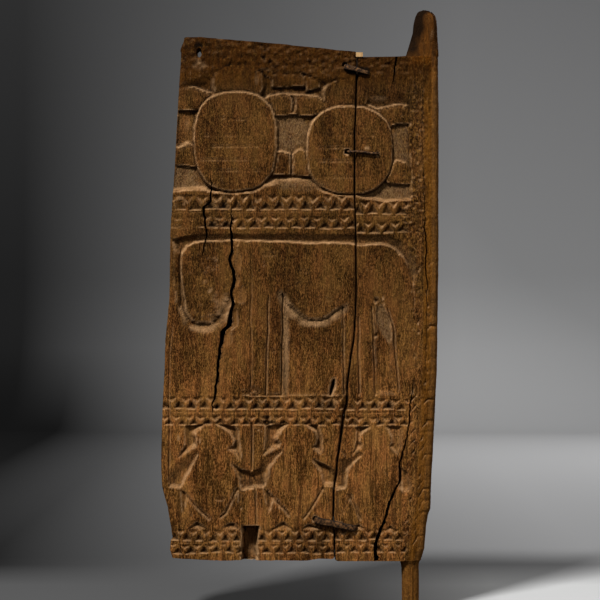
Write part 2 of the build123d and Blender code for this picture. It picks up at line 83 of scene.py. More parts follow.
# Value noise: random heights on a wrapped square lattice, eased between the four nearest ones.
def valueNoise(u, v, seed):
    lattice = np.random.default_rng(seed).uniform(-1.0, 1.0, (128, 128))
    column, row = np.floor(u).astype(int), np.floor(v).astype(int)
    alongColumn, alongRow = ease(u - column), ease(v - row)
    column, row = column % 128, row % 128
    nextColumn, nextRow = (column + 1) % 128, (row + 1) % 128
    lower = lattice[column, row] * (1 - alongColumn) + lattice[nextColumn, row] * alongColumn
    upper = lattice[column, nextRow] * (1 - alongColumn) + lattice[nextColumn, nextRow] * alongColumn
    return lower * (1 - alongRow) + upper * alongRow


# Value noise along one line of the lattice.
def lineNoise(values, step, line, seed):
    return valueNoise(values / step, values * 0.0 + line, seed)


# Reads a curve, given as heights and the values there, at the heights z.
def valueAt(curve, z, key="x"):
    return np.interp(z, curve["z"], curve[key])


# Distance from an oval's middle as a share of its radius.
def ovalRadius(x, z, middle, halves):
    return np.hypot((x - middle[0]) / halves[0], (z - middle[1]) / halves[1])


# Raises a grid's chosen points to at least the given values, in place.
def raiseTo(grid, chosen, values):
    grid[chosen] = np.maximum(grid[chosen], values)


# Mean of a grid over a square window: the difference of running sums along each axis in turn.
def blurred(grid, reach):
    for axis in (0, 1):
        padding = [(0, 0), (0, 0)]
        padding[axis] = (reach + 1, reach)
        sums = np.cumsum(np.pad(grid, padding, mode="edge"), axis=axis)
        size = grid.shape[axis]
        first = np.take(sums, np.arange(size), axis=axis)
        last = np.take(sums, np.arange(size) + 2 * reach + 1, axis=axis)
        grid = (last - first) / (2 * reach + 1)
    return grid


# Offsets of the points from the nearest place on a straight piece.
def fromSegment(x, z, ax, az, bx, bz):
    runX, runZ = bx - ax, bz - az
    share = clipped(((x - ax) * runX + (z - az) * runZ) / np.hypot(runX, runZ)**2)
    return x - ax - share * runX, z - az - share * runZ


# For a closed outline of corners, each given with the slope width of the edge that leaves it: which
# points lie inside, and each point's least distance to an edge over that edge's slope width.
def edgeShare(x, z, outline):
    corners = np.asarray(outline, float)
    inside = np.zeros(x.shape, bool)
    share = np.full(x.shape, 1e3)
    for (ax, az, width), (bx, bz, _) in zip(corners, np.roll(corners, -1, axis=0)):
        inside ^= ((az > z) != (bz > z)) & (x < (bx - ax) * (z - az) / (bz - az + 1e-9) + ax)
        share = np.minimum(share, np.hypot(*fromSegment(x, z, ax, az, bx, bz)) / width)
    return inside, share


# Gives every edge of an outline one slope width.
def withWidth(outline, width):
    return [(px, pz, width) for px, pz in outline]


# Runs a cut on the points near its outline only, and deepens the field where the cut is deeper.
def deepen(field, x, z, outline, cut, dust=0.0):
    corners = np.asarray([corner[:2] for corner in outline], float)
    margin = 20.0
    near = (x > corners[:, 0].min() - margin) & (x < corners[:, 0].max() + margin)
    near &= (z > corners[:, 1].min() - margin) & (z < corners[:, 1].max() + margin)
    amount = cut(x[near], z[near])
    raiseTo(field["depth"], near, amount)
    if dust:
        raiseTo(field["dust"], near, dust * ease(amount / 3.0))


# Facetted cut: inside the outline the depth times the least edge share, up to 1, so a narrow edge is a
# steep wall and a broad one a slanting plane.
def facetCut(field, x, z, outline, depth, dust=0.0):
    def cut(nearX, nearZ):
        inside, share = edgeShare(nearX, nearZ, outline)
        return np.where(inside, depth * np.minimum(share, 1.0), 0.0)

    deepen(field, x, z, outline, cut, dust)


# Line cut: a V along a line of points, rising in a straight slope to the left and right of its travel.
def lineCut(field, x, z, line, depth, leftWidth, rightWidth, dust=0.0):
    def cut(nearX, nearZ):
        amount = np.zeros(nearX.shape)
        for (ax, az), (bx, bz) in zip(line, line[1:]):
            offX, offZ = fromSegment(nearX, nearZ, ax, az, bx, bz)
            width = np.where(offX * (bz - az) - offZ * (bx - ax) < 0, leftWidth, rightWidth)
            amount = np.maximum(amount, depth * (1.0 - np.hypot(offX, offZ) / width))
        return amount

    deepen(field, x, z, line, cut, dust)


# Line cuts from a list, each as its line, its depth and its left and right width.
def lineCuts(field, x, z, cuts, dust=0.0):
    for line, depth, leftWidth, rightWidth in cuts:
        lineCut(field, x, z, line, depth, leftWidth, rightWidth, dust)


# Rough distance outwards from an oval: a superellipse's radius function less one, times its smaller half.
def ovalDistance(x, z, centre, halves, power):
    radius = (np.abs((x - centre[0]) / halves[0]) ** power + np.abs((z - centre[1]) / halves[1]) ** power)
    return (radius ** (1.0 / power) - 1.0) * min(halves)


# One row of chip carving: hanging chips under the top line and standing chips on the base line, half a
# pitch apart. Each chip is three facets, so its depth is the least of the distances to its three sides,
# and the standing chips' base walls are the steepest. Each chip is shifted, widened, lifted and lengthened
# by its own draws. Below the head's band the standing chips are painted darker, as painted shade.
def chipRow(field, x, z, row, lastX, seed):
    topZ, tipZ, peakZ, baseZ = (row["top"], row["tip"], row["peak"], row["base"])
    near = (z < topZ + 2.0) & (z > baseZ - 2.0) & (x < lastX)
    if not near.any():
        return
    drawCount = 400
    shift, widening, lift, lengthening = np.random.default_rng(seed).uniform(-1.0, 1.0, (4, drawCount))
    nearX, nearZ = x[near], z[near] + 0.8 * valueNoise(x[near] / 30.0, z[near] / 90.0, seed)
    amount = np.zeros(nearX.shape)
    for hanging in (True, False):
        place = (nearX - row["start"]) / row["pitch"] + (0.0 if hanging else 0.5)
        cell = np.floor(place).astype(int)
        pick = cell % drawCount
        across = (place - cell - 0.5) * row["pitch"] + 1.3 * shift[pick]
        half = row["pitch"] * (0.47 + 0.05 * widening[pick])
        base = (topZ if hanging else baseZ) + 0.8 * lift[pick]
        height = (topZ - tipZ if hanging else peakZ - baseZ) * (1.0 + 0.14 * lengthening[pick])
        rise = base - nearZ if hanging else nearZ - base
        slantLength = np.hypot(half, height)
        sides = ((half - np.abs(across)) * height - rise * half) / slantLength
        steepness = 0.55 if hanging else 1.6
        rubbed = 1.0 - row["worn"] * ease((-318.0 - nearX) / 26.0)
        deep = row["depth"] * (1.0 + 0.2 * widening[pick]) * rubbed
        chip = np.clip(np.minimum(rise * steepness, sides * 0.95), 0.0, deep)
        amount = np.maximum(amount, chip)
        # Painted shade in the standing chips below the head's band.
        if not hanging and topZ < 700:
            raiseTo(field["grimeAndShade"], near, ease((chip - 0.8) / 1.6))
    raiseTo(field["depth"], near, amount)


# Whole sizes, shared by the planks and the staples
doorSet = dict(
    faceY=-19.0, backY=13.0, stileBackY=19.0, footZ=76.0, headZ=890.0, pivotHeadZ=882.0,
    arris=4.0, stileRound=14.0, jointStep=1.6, backGap=0.06,
)

# Edges and cracks, each as heights and the places there, from the foot upwards
freeEdge = dict(
    z=(76, 92, 107, 112, 138, 162, 179, 195, 230, 275, 322, 376, 429, 496, 605, 709, 789, 890, 893, 914),
    x=(-381, -386, -385, -382, -386, -390, -395, -399, -400.3, -399.5, -398, -395, -393.6, -387, -385.6,
       -378.4, -374.4, -368, -370, -361.6),
)
jointMiddle = dict(
    z=(76, 115, 146, 190, 214, 238, 269, 296, 314, 325, 355, 402, 429, 496, 584, 667, 758, 802, 850, 890),
    x=(-121.6, -122.4, -124, -123.2, -119.4, -117.1, -112.5, -108.8, -106.4, -102.6, -101.8, -96, -91.2,
       -87.4, -87.7, -90, -90, -88, -86.5, -86.5),
    gap=(3.5, 3.5, 4, 4, 4, 4, 5, 6.5, 7.2, 6.2, 3.5, 3.5, 3.5, 3.2, 3.6, 3.2, 3.2, 3.5, 3.5, 3.5),
)
stileEdge = dict(
    z=(76, 94, 128, 147, 158, 206, 333, 381, 560, 789, 882),
    x=(18.2, 23.5, 26, 29, 33, 34.4, 41.6, 43.6, 46, 46.2, 45.6),
)
cracks = dict(
    headCrack=dict(
        z=(76, 300, 480, 560, 568, 589, 605, 618, 642, 650, 669, 700, 890),
        x=(-341, -341, -340, -335, -334.4, -329.6, -326.4, -330.4, -332.8, -321.6, -320, -321, -322),
        width=(0, 0, 0, 0, 2, 2.4, 3.4, 3.4, 4.5, 3.6, 2.5, 0, 0), deep=22.0,
    ),
    longCrack=dict(
        z=(76, 300, 328, 338, 373, 413, 443, 453, 474, 488, 509, 525, 541, 557, 576, 594, 619, 650, 890),
        x=(-318, -318.5, -318.5, -314.4, -310.4, -305.6, -301, -290.6, -288, -284.5, -287.4, -282.8, -284.8,
           -290.4, -286.8, -288, -288, -288, -288),
        width=(0, 0, 3, 3.8, 4.4, 5.2, 8.6, 9.8, 6.4, 5, 5, 6, 5.6, 5, 4.4, 4.2, 3, 0, 0), deep=28.0,
    ),
    footCrack=dict(
        z=(76, 102, 118, 139, 165, 187, 202, 214, 232, 251, 271, 294, 322, 338, 352, 372, 829, 851, 875, 882),
        x=(-55, -56, -51.2, -42.1, -36, -25.6, -18.4, -17.6, -18.4, -12.8, -6.4, -3.2, -2.2, 0, 3.2, 3.2, -32,
           -27.2, -24, -23.6),
        width=(7.6, 7.2, 6, 5.2, 5, 4.6, 4.2, 3.6, 3.4, 3.2, 3, 2.8, 2.6, 2.4, 1.6, 0, 0, 2.4, 3, 3),
        deep=28.0,
    ),
    stileCheck=dict(
        z=(76, 140, 206, 300, 400, 510, 522, 540, 574, 613, 622, 669, 700, 712, 740, 752, 780, 810, 882),
        x=(-2, 6, 13, 20, 24.5, 26, 25.6, 23.6, 24.4, 22, 21.6, 20.8, 19.6, 19.4, 19, 18.8, 18.6, 20, 20),
        width=(0, 0, 0, 0.6, 0.8, 1.2, 2.4, 2.6, 2.6, 2.4, 1.2, 1.4, 1.1, 0.4, 1.5, 0.5, 0.9, 0, 0), deep=9.0,
    ),
)


# Scored lines that run up the planks, as heights, the places there and the depths; they are cut at columns
# of their own, so they stay crisp.
scored = dict(
    margin=dict(z=(76, 196, 204, 340, 400, 446, 456, 474, 484, 520, 560, 574, 580, 640, 700, 914),
                x=(-375, -386, -387.5, -388, -387, -384, -382, -372, -369.5, -370, -371.5, -369, -368, -362,
                   -352, -350),
                depth=(0, 0, 2.2, 2.6, 2.2, 2, 0, 0, 2.4, 3, 3, 2, 0, 0, 0, 0)),
    firstPost=dict(z=(76, 126, 134, 190, 196, 218, 222, 292, 297, 343, 347, 400, 460, 520, 585, 590, 700,
                      890),
                   x=(-241, -247.5, -248.5, -249.5, -252, -254.6, -254.6, -255.2, -255.4, -257, -257, -255,
                      -258, -256, -257.5, -257, -250, -250),
                   depth=(0, 0, 3, 3, 0, 0, 3.2, 3.2, 0, 0, 2.4, 2.2, 2.2, 1.3, 1.0, 0, 0, 0)),
    secondPost=dict(z=(76, 130, 176, 182, 300, 338, 342, 380, 440, 497, 502, 700, 890),
                    x=(-222, -224, -236, -238, -236, -233, -232, -231.5, -230, -229, -229, -226, -226),
                    depth=(0, 0, 0, 0, 0, 0, 3.4, 3.2, 3.4, 2.8, 0, 0, 0)),
    thirdPost=dict(z=(76, 300, 338, 342, 430, 500, 506, 890),
                   x=(-207, -207, -207, -207, -206, -205.5, -205, -200),
                   depth=(0, 0, 0, 4.2, 4.4, 4, 0, 0)),
    fourthPost=dict(z=(76, 120, 168, 190, 194, 300, 338, 342, 420, 478, 484, 700, 890),
                    x=(-136, -135, -134, -138.5, -139, -127, -107.5, -107, -108.5, -109.5, -110, -112, -112),
                    depth=(0, 0, 1.6, 1.8, 0, 0, 0, 2.8, 3, 2.4, 0, 0, 0)),
    firstFlank=dict(z=(76, 140, 180, 300, 338, 342, 400, 464, 470, 560, 882),
                    x=(-92, -92, -88, -84, -82.5, -82.5, -84, -84.5, -84.5, -80, -78),
                    depth=(0, 0, 0, 0, 0, 3, 3, 2.6, 0, 0, 0)),
    secondFlank=dict(z=(76, 139, 187, 300, 338, 342, 380, 420, 480, 486, 882),
                     x=(-80, -68, -60, -57, -56.5, -56.5, -58, -60, -63, -63, -60),
                     depth=(0, 0, 0, 0, 0, 2.8, 3, 3.2, 3, 0, 0)),
    tail=dict(z=(76, 139, 187, 232, 251, 343, 350, 400, 445, 480, 486, 560, 700, 882),
              x=(-68, -54, -40, -31, -26, -19.5, -20, -24.6, -28, -38, -40, -44, -45, -46),
              depth=(0, 0, 0, 0, 0, 0, 3.2, 3.4, 3.4, 2.6, 0, 0, 0, 0)),
)


# The tortoise register: ground sunk around two shells, two heads and the legs between them. Legs stand a
# little below the shells, and a groove follows each shell's rim.
tortoiseSet = dict(
    depth=7.0, limbLevel=1.6, groove=4.2,
    ground=[(-373, 836, 12), (-356, 846, 14), (-336, 851, 12), (-318, 862, 4), (-300, 870, 3), (-274, 873, 3),
            (-240, 863, 3), (-175, 859, 3), (-149, 850, 8), (-130, 846, 4), (-106, 848, 3), (-84, 840, 8),
            (-70, 829, 14), (-2, 826, 3), (0, 676, 4), (2, 652, 5), (-45, 649, 6), (-85, 657, 3),
            (-91, 662, 3), (-142, 667, 5), (-152, 674, 9), (-180, 679, 10), (-215, 678, 10), (-238, 672, 8),
            (-262, 668, 3), (-315, 666, 3), (-330, 670, 6), (-384, 667, 5), (-379, 712, 3), (-374, 800, 3)],
    shells=[dict(centre=(-281, 747), halves=(66.4, 79.5), power=2.6),
            dict(centre=(-98.6, 733), halves=(69, 70.5), power=2.5)],
    heads=[dict(centre=(-277, 840), halves=(38, 27), power=2.4),
           dict(centre=(-105, 818), halves=(34, 26), power=2.4)],
    limbs=[
        [(-385, 834), (-358, 835), (-344, 833), (-333, 828), (-312, 822), (-325, 806), (-338, 800),
         (-352, 797), (-385, 798)],
        [(-385, 733), (-370, 738), (-357, 745), (-346, 738), (-342, 707), (-385, 711)],
        [(-238, 812), (-225, 820), (-205, 822.5), (-170, 821), (-150, 818), (-140, 812), (-124, 803),
         (-140, 796), (-160, 789), (-189, 791), (-214, 788), (-230, 796)],
        [(-222, 731), (-208, 731), (-194, 726), (-194, 694), (-222, 694)],
        [(-188, 725), (-178, 733), (-163, 727), (-163, 692), (-188, 694)],
        [(-234, 858), (-180, 857), (-173, 850), (-171, 836), (-222, 835), (-221, 846)],
        [(-169, 851), (-150, 847), (-148, 834), (-166, 829)],
        [(-76, 808), (-52, 799), (-27, 804.5), (6, 804), (6, 776), (-20, 777), (-33, 772), (-46, 790)],
        [(-44, 696), (-34, 706), (-21, 715), (-8, 712), (2, 698), (0, 679), (-36, 680)],
    ],
    dusty=[((-197, 765), (34, 36), 1.0), ((-366, 692), (30, 26), 0.9), ((-14, 736), (26, 40), 0.7),
           ((-28, 664), (44, 18), 1.0), ((-190, 676), (60, 14), 0.8), ((-110, 664), (40, 8), 0.5)],
    scores=[((-309, 784), (-262, 782.5)), ((-330, 757), (-236, 758)), ((-320, 739), (-222, 741)),
            ((-338, 718), (-240, 719)), ((-322, 701), (-240, 700)), ((-148, 716), (-58, 715)),
            ((-140, 690), (-70, 691)), ((-142, 758), (-60, 757)), ((-150, 737), (-104, 738))],
    lines=[([(-189.5, 794), (-187.5, 806), (-191, 819)], 6.5, 1.4, 6.0),
           ([(-226, 825), (-226.5, 833), (-219.5, 843), (-225, 850), (-231, 856)], 4.0, 1.8, 2.4),
           ([(-212, 862), (-218, 865), (-222, 870), (-228, 865), (-236, 862)], 4.0, 1.8, 2.2),
           ([(-148, 804), (-150, 799), (-154, 796)], 2.2, 2.4, 1.6),
           ([(-170, 838), (-172, 850), (-180, 866)], 2.2, 1.8, 2.6),
           ([(-18, 776), (-3, 774.5)], 3.0, 2.6, 1.8)],
)


# The ground sinks by the least share of the distances to its outline and to every shell, head and limb.
# Above it stand rimmed shells, bowed heads and limbs with rounded edges, and the scores come last.
def carveTortoises(field, x, z):
    given = tortoiseSet
    zone = (z > 640) & (z < 895)
    zoneX, zoneZ = x[zone], z[zone]
    inside, share = edgeShare(zoneX, zoneZ, given["ground"])
    grooves, outside = np.zeros(zoneX.shape), np.ones(zoneX.shape, bool)
    for number, figure in enumerate(given["shells"] + given["heads"]):
        distance = ovalDistance(zoneX, zoneZ, figure["centre"], figure["halves"], figure["power"])
        upward = (zoneZ - figure["centre"][1]) / figure["halves"][1]
        sideways = (zoneX - figure["centre"][0]) / figure["halves"][0]
        wall = np.clip(1.1 + 0.65 * upward + 0.2 * sideways, 0.85, 1.8) if number < 2 else 4.5
        share = np.minimum(share, np.maximum(distance, 0.0) / wall)
        if number < 2:
            rimShare = np.minimum(distance / wall, 1.0 - (distance - wall) / 4.0)
            grooves = np.maximum(grooves, given["groove"] * rimShare)
            outside &= distance > 0
        else:
            bowed = 0.6 + 2.6 * ease(0.2 - 0.9 * upward)
            grooves = np.where((distance < 0) & outside, np.maximum(grooves, bowed), grooves)
    for outline in given["limbs"]:
        within, limbShare = edgeShare(zoneX, zoneZ, withWidth(outline, 2.6))
        share = np.minimum(share, np.where(within, 0.0, limbShare))
        rounded = given["limbLevel"] + 1.6 * clipped(1.0 - limbShare / 2.2)
        grooves = np.where(within & inside & outside, np.maximum(grooves, rounded), grooves)
    hollow = valueNoise(zoneX / 22.0, zoneZ / 22.0, 31)
    share = np.where(inside, np.minimum(share, 1.0), 0.0)
    ground = given["depth"] * share * (1.0 + 0.12 * hollow) * (1.0 - 0.25 * ease((zoneZ - 834.0) / 10.0))
    ground *= 1.0 - 0.45 * ease((zoneZ - 804.0) / 14.0) * ease((zoneX + 80.0) / 12.0)
    raiseTo(field["depth"], zone, np.maximum(ground, grooves))
    dusty = 0.12 * ease((840.0 - zoneZ) / 16.0)
    for middle, halves, amount in given["dusty"]:
        radius = ovalRadius(zoneX, zoneZ, middle, halves)
        dusty = np.maximum(dusty, amount * fade((radius - 0.7) / 0.5))
    mottled = dusty * (1.0 + 0.5 * valueNoise(zoneX / 9.0, zoneZ / 5.0, 32))
    raiseTo(field["dust"], zone, ease((share - 0.45) * 2.2) * clipped(mottled))
    for start, end in given["scores"]:
        lineCut(field, x, z, [start, end], 1.5, 1.0, 1.9)
    for shell in given["shells"]:
        innerHalves = [half - 5.0 for half in shell["halves"]]
        rim = ovalDistance(zoneX, zoneZ, shell["centre"], innerHalves, shell["power"])
        score = 0.8 * clipped(1.0 - np.abs(rim) / 1.4)
        leftOnly = ease((shell["centre"][0] - zoneX) / 20.0)
        raiseTo(field["depth"], zone, score * leftOnly)
    lineCuts(field, x, z, given["lines"])


# The elephant: slanted cuts over the back, around the head and trunk, under the belly and in the flank,
# each with its depth and the dust in it, and line cuts along the belly, between the legs and for the ear.
elephantSet = dict(
    cuts=dict(
        back=(5.5, 0.3, [(-384, 590, 3), (-366, 594, 6), (-340, 599, 10), (-290, 599, 10), (-90, 599, 10),
                         (-60, 598, 11), (-38, 597, 12), (-12, 588, 14), (7, 564, 13), (12, 540, 10),
                         (9, 522, 6), (2.5, 518, 2.2), (0, 530, 2.2), (-5, 549, 2.2), (-12, 562, 2.4),
                         (-24, 574, 2.4), (-38, 580, 2.6), (-53, 582, 2.6), (-85, 580, 2.4), (-114, 585, 2.4),
                         (-162, 584, 2.4), (-258, 587, 2.4), (-330, 588, 2.4), (-346, 585, 2.4),
                         (-358, 578, 4), (-366, 566, 5), (-377, 566, 4), (-380, 580, 4)]),
        trunk=(4.2, 0.0, [(-380, 573, 7), (-380, 540, 7), (-377, 500, 7), (-371, 472, 9), (-358, 450, 10),
                          (-340, 438, 13), (-322.4, 437, 14), (-310, 444, 14), (-298, 458, 12),
                          (-284, 490, 2), (-291, 501, 1.4), (-305, 474, 1.4), (-318, 458.5, 1.4),
                          (-338, 456, 1.4), (-352, 460, 1.6), (-360, 472, 1.8), (-364, 505, 2),
                          (-368, 540, 2), (-367, 572, 2)]),
        belly=(1.4, 0.0, [(-203, 500, 2), (-195, 486, 2), (-180, 474, 2), (-155, 460, 2), (-133, 465, 2),
                          (-117, 475, 2), (-110, 481, 2), (-110, 341, 2), (-203, 341, 2)]),
        flank=(3.0, 0.0, [(-56, 488, 2), (-48, 492, 2), (-42, 485, 9), (-31, 445, 9), (-27, 381, 9),
                          (-21, 341, 9), (-57, 341, 2.4)]),
        leaf=(4.4, 1.2, [(-56, 483, 2.6), (-45, 486, 2.6), (-32.5, 464, 4), (-29.5, 435, 3), (-34, 421, 3),
                         (-45, 434, 2.4), (-56, 454, 2.4)]),
    ),
    bellyLines=[([(-203.5, 500), (-197, 486.5), (-185, 476), (-169.8, 464), (-152.8, 460), (-134, 464),
                  (-119, 477), (-110, 482)], 3.8, 1.0, 14.0),
                ([(-203, 342), (-203, 420), (-203, 498)], 2.6, 1.4, 8.5)],
    bellyDust=1.6,
    lines=[
        ([(-97, 470), (-98, 481)], 1.6, 2.0, 3.0),
        ([(-10, 562), (-5, 549), (0, 530), (3, 510), (5, 488)], 3.4, 1.2, 1.8),
        ([(-279, 360), (-280, 420), (-279, 475)], 0.8, 5.0, 5.0),
        ([(-270, 345), (-259, 344), (-250, 352), (-243, 343)], 2.6, 3.0, 2.4),
        ([(-258, 341), (-206, 341)], 2.4, 2.6, 2.2),
        ([(-332, 563), (-327.6, 549.5), (-319, 542.6), (-310.4, 553)], 1.8, 1.6, 2.4),
    ],
    scratches=[((-246, 553), (-230, 552)), ((-201, 521), (-179, 519)), ((-149, 498), (-118, 491)),
               ((-190, 490), (-168, 489)), ((-228, 413), (-210, 411)), ((-118, 412), (-104, 409)),
               ((-144, 359), (-128, 357)), ((-318, 361), (-304, 359)), ((-70, 420), (-58, 414)),
               ((-236, 566), (-214, 565)), ((-176, 540), (-160, 538)), ((-70, 545), (-60, 540))],
)


# Every cut and line in turn, then dimples of noise on the head, eased out towards its four sides.
def carveElephant(field, x, z):
    given = elephantSet
    for depth, dust, outline in given["cuts"].values():
        facetCut(field, x, z, outline, depth, dust)
    lineCuts(field, x, z, given["bellyLines"], given["bellyDust"])
    lineCuts(field, x, z, given["lines"])
    for start, end in given["scratches"]:
        lineCut(field, x, z, [start, end], 1.5, 1.2, 2.0)
    head = ease((x + 376) / 12.0) * ease((-290 - x) / 16.0) * ease((z - 440) / 20.0) * ease((596 - z) / 20.0)
    dimples = 0.7 + 0.9 * valueNoise(x / 7.0, z / 9.0, 33) + 0.5 * valueNoise(x / 3.4, z / 4.0, 34)
    field["depth"] += head * dimples


# The lizards: every cut that frees a head, a leg or a flank, each corner with the slope width of the edge
# that leaves it. Broad edges are the legs' undersides and the heads' brows, which slant down to the line.
lizardCuts = [
    (6.0, [(-361, 292, 3), (-326, 295, 7), (-345, 278, 4), (-341, 259, 8), (-355, 250, 7), (-376, 236, 2.5),
           (-362, 260, 6)]),
    (6.0, [(-340, 254, 15), (-376, 233, 16), (-391, 214, 5), (-388, 193, 5), (-369, 190, 4), (-364, 200, 5),
           (-352, 224, 4.5), (-339, 247, 3)]),
    (6.0, [(-314, 295, 3), (-283, 292, 4), (-276, 284, 5), (-273, 250, 4), (-268, 227, 8), (-280, 243, 9),
           (-295, 255, 3), (-285, 259, 3), (-282, 267, 3), (-290, 281, 3), (-300, 287, 3)]),
    (6.0, [(-301, 247, 4), (-283, 230, 4), (-268, 220, 4), (-255, 218, 8), (-243, 224, 10), (-238, 239, 17),
           (-222, 250, 14), (-206, 256, 3), (-205, 249, 4.5), (-214, 240, 6), (-226, 222, 6), (-231, 203, 4),
           (-234, 193, 5), (-252, 191, 4.5), (-272, 189, 3), (-275, 204, 4), (-279, 216, 6), (-292, 236, 4)]),
    (6.0, [(-234, 292, 3), (-193, 296, 5), (-206, 284, 7), (-215, 270, 3), (-207, 260, 7), (-222, 252, 7),
           (-240, 242, 3), (-235, 255, 6), (-234, 270, 6)]),
    (6.0, [(-180, 296, 3), (-147, 292, 5), (-143, 270, 4), (-142, 243, 7), (-150, 250, 7), (-160, 258, 2.5),
           (-152, 262, 3), (-150, 272, 3), (-153, 282, 3), (-165, 290, 3)]),
    (6.0, [(-161, 243, 4), (-150, 236, 4), (-135, 229, 4), (-124, 224, 8), (-118, 222, 12), (-112, 239, 15),
           (-99, 240, 15), (-86, 249, 12), (-78, 249, 3), (-77, 243, 4.5), (-90, 231, 5), (-99, 219, 5),
           (-103, 205, 4), (-104, 190, 4.5), (-120, 188, 5), (-125, 193, 8), (-139, 194, 4), (-141, 204, 4),
           (-145, 217, 5), (-155, 232, 4)]),
    (5.0, [(-90, 290, 3), (-60, 292, 3.5), (-72, 284, 4), (-81, 276, 3), (-83, 266, 3), (-78, 261, 3),
           (-77, 256, 7), (-88, 248, 7), (-100, 240, 3), (-90, 254, 3), (-88, 268, 4)]),
    (4.0, [(-44, 291, 3), (-14, 290, 8), (-12, 262, 6), (-20, 241, 5), (-28, 250, 5), (-35, 259, 2.5),
           (-30, 264, 3), (-31, 273, 3), (-37, 284, 3)]),
    (5.0, [(-22, 232, 5), (-4, 216, 5), (0, 200, 4), (0, 188, 4.5), (-10, 184, 5), (-19, 190, 3),
           (-20, 205, 3)]),
    (4.0, [(-368, 190, 2), (-359, 182, 3), (-357, 176, 4), (-362, 158, 4), (-366, 143, 2), (-367, 160, 2)]),
    (4.0, [(-236, 196, 2), (-226, 184, 2), (-219, 178, 4), (-224, 160, 4), (-230, 143, 2), (-231, 165, 2)]),
    (5.0, [(-362, 122, 2), (-342, 137, 2), (-323, 123, 12)]),
    (5.0, [(-310, 123, 2), (-290, 134.5, 2), (-283, 134, 2), (-272, 123, 11)]),
    (5.0, [(-230, 122, 2), (-205, 137, 2), (-186, 123, 12)]),
    (5.0, [(-178, 124, 2), (-163, 134, 2), (-150, 130, 2), (-142, 122, 9)]),
    (5.0, [(-96, 124, 2), (-84, 134, 2), (-70, 124, 9)]),
    (4.5, [(-44, 121, 2), (-34, 132, 2), (-20, 120, 9)]),
]
lizardLines = [
    ([(-323, 142), (-341, 160), (-358, 178)], 3.2, 3.4, 2.4),
    ([(-306, 144), (-298, 150), (-287, 170), (-279, 190)], 3.2, 2.4, 3.0),
    ([(-195, 149), (-209, 164), (-220, 178)], 3.2, 3.4, 2.4),
    ([(-172, 143), (-161, 158), (-150, 176), (-141, 192)], 3.0, 2.0, 2.8),
    ([(-80, 143), (-88, 160), (-98, 180)], 2.8, 3.4, 2.4),
    ([(-112, 147), (-106, 160), (-100, 178)], 1.8, 1.6, 2.2),
    ([(-272, 160), (-276, 190)], 2.6, 1.6, 2.6), ([(-240, 135), (-244, 175)], 1.6, 1.4, 2.0),
    ([(-240, 246), (-240.5, 290)], 1.4, 1.4, 2.0), ([(-128, 246), (-127, 292)], 1.6, 1.4, 2.0),
    ([(-104, 245), (-112, 252)], 1.8, 1.6, 2.2), ([(-91, 262), (-90, 286)], 2.0, 1.4, 2.0),
    ([(-120, 190), (-118, 140)], 1.6, 1.4, 2.2), ([(-297, 175), (-303, 173), (-312, 175)], 1.8, 2.4, 1.4),
    ([(-349, 148), (-355, 157)], 1.6, 2.4, 1.4), ([(-262, 178), (-264, 188)], 1.4, 1.4, 2.0),
    ([(-170, 171), (-182, 173)], 1.2, 1.6, 1.4), ([(-45, 220), (-36, 214)], 1.4, 1.6, 2.0),
    ([(-26, 149), (-13, 169)], 1.2, 1.4, 2.0), ([(-30, 160), (-20, 196)], 1.2, 1.4, 2.0),
]


# Every cut in turn, then every line.
def carveLizards(field, x, z):
    for depth, outline in lizardCuts:
        facetCut(field, x, z, outline, depth, dust=0.3)
    lineCuts(field, x, z, lizardLines)


# Chip-carved bands, in pairs of rows; the pivot plank's rows stand a little lower than the wide plank's.
bandKeys = ("top", "tip", "peak", "base", "pitch", "depth", "start", "side", "worn")
bandRows = [dict(zip(bandKeys, row)) for row in (
    (886, 874, 880, 866.0, 21.0, 2.4, -330, -1, 0.0),
    (662, 648, 655, 637.5, 22.4, 4.2, -368, -1, 0.6),
    (627, 617.5, 622, 607.5, 22.4, 3.4, -362, -1, 0.75),
    (652, 638, 646, 630.0, 22.2, 4.2, -84, 1, 0.0),
    (619, 608, 614, 600.5, 22.2, 3.4, -80, 1, 0.0),
    (338, 326, 333, 317.5, 20.4, 4.0, -392, -1, 0.0),
    (308, 298, 303, 292.5, 20.4, 3.4, -386, -1, 0.0),
    (336, 325, 332, 317.5, 20.6, 4.0, -97, 1, 0.0),
    (307, 297, 302, 291.5, 20.6, 3.4, -92, 1, 0.0),
    (126, 115, 121, 107, 20.2, 3.8, -379, -1, 0.0),
    (103, 95, 99, 87, 20.2, 3.4, -372, -1, 0.0),
    (126, 115, 121, 108, 20.4, 3.8, -119, 1, 0.0),
    (104, 96, 100, 88, 20.4, 3.4, -112, 1, 0.0),
)]
stripLines = [(634, -1), (627, 1), (313, -1), (312, 1), (105, -1), (105, 1)]


# The rows of chips of one plank, up to its own right-hand limit, and the fine lines between the rows.
def carveBands(field, x, z, side):
    for number, row in enumerate(bandRows):
        if row["side"] == side:
            lastX = np.inf if side < 0 else (-4.0 if row["top"] > 200 else -8.0)
            chipRow(field, x, z, row, lastX, 200 + number)
    for height, plank in stripLines:
        if plank == side:
            ends = (-384, -126) if side < 0 else (-118, -6)
            lineCut(field, x, z, [(ends[0], height), (ends[1], height + 0.6)], 1.0, 1.2, 1.2)


# The stile's border: two upright columns of slanting strokes, set in from the edge. A stroke is a V whose
# height shifts with the place across: down to the right above, as a chevron amid, up to the right below.
borderSet = dict(
    columns=(dict(inset=36.5, half=6.0, shift=0.0, fade=0.5),
             dict(inset=17.5, half=5.0, shift=0.4, fade=0.72)),
    z=(60, 300, 340, 560, 600, 900), pitch=(19.0, 18.0, 17.6, 17.0, 11.5, 10.8), depth=2.5, width=3.2,
)


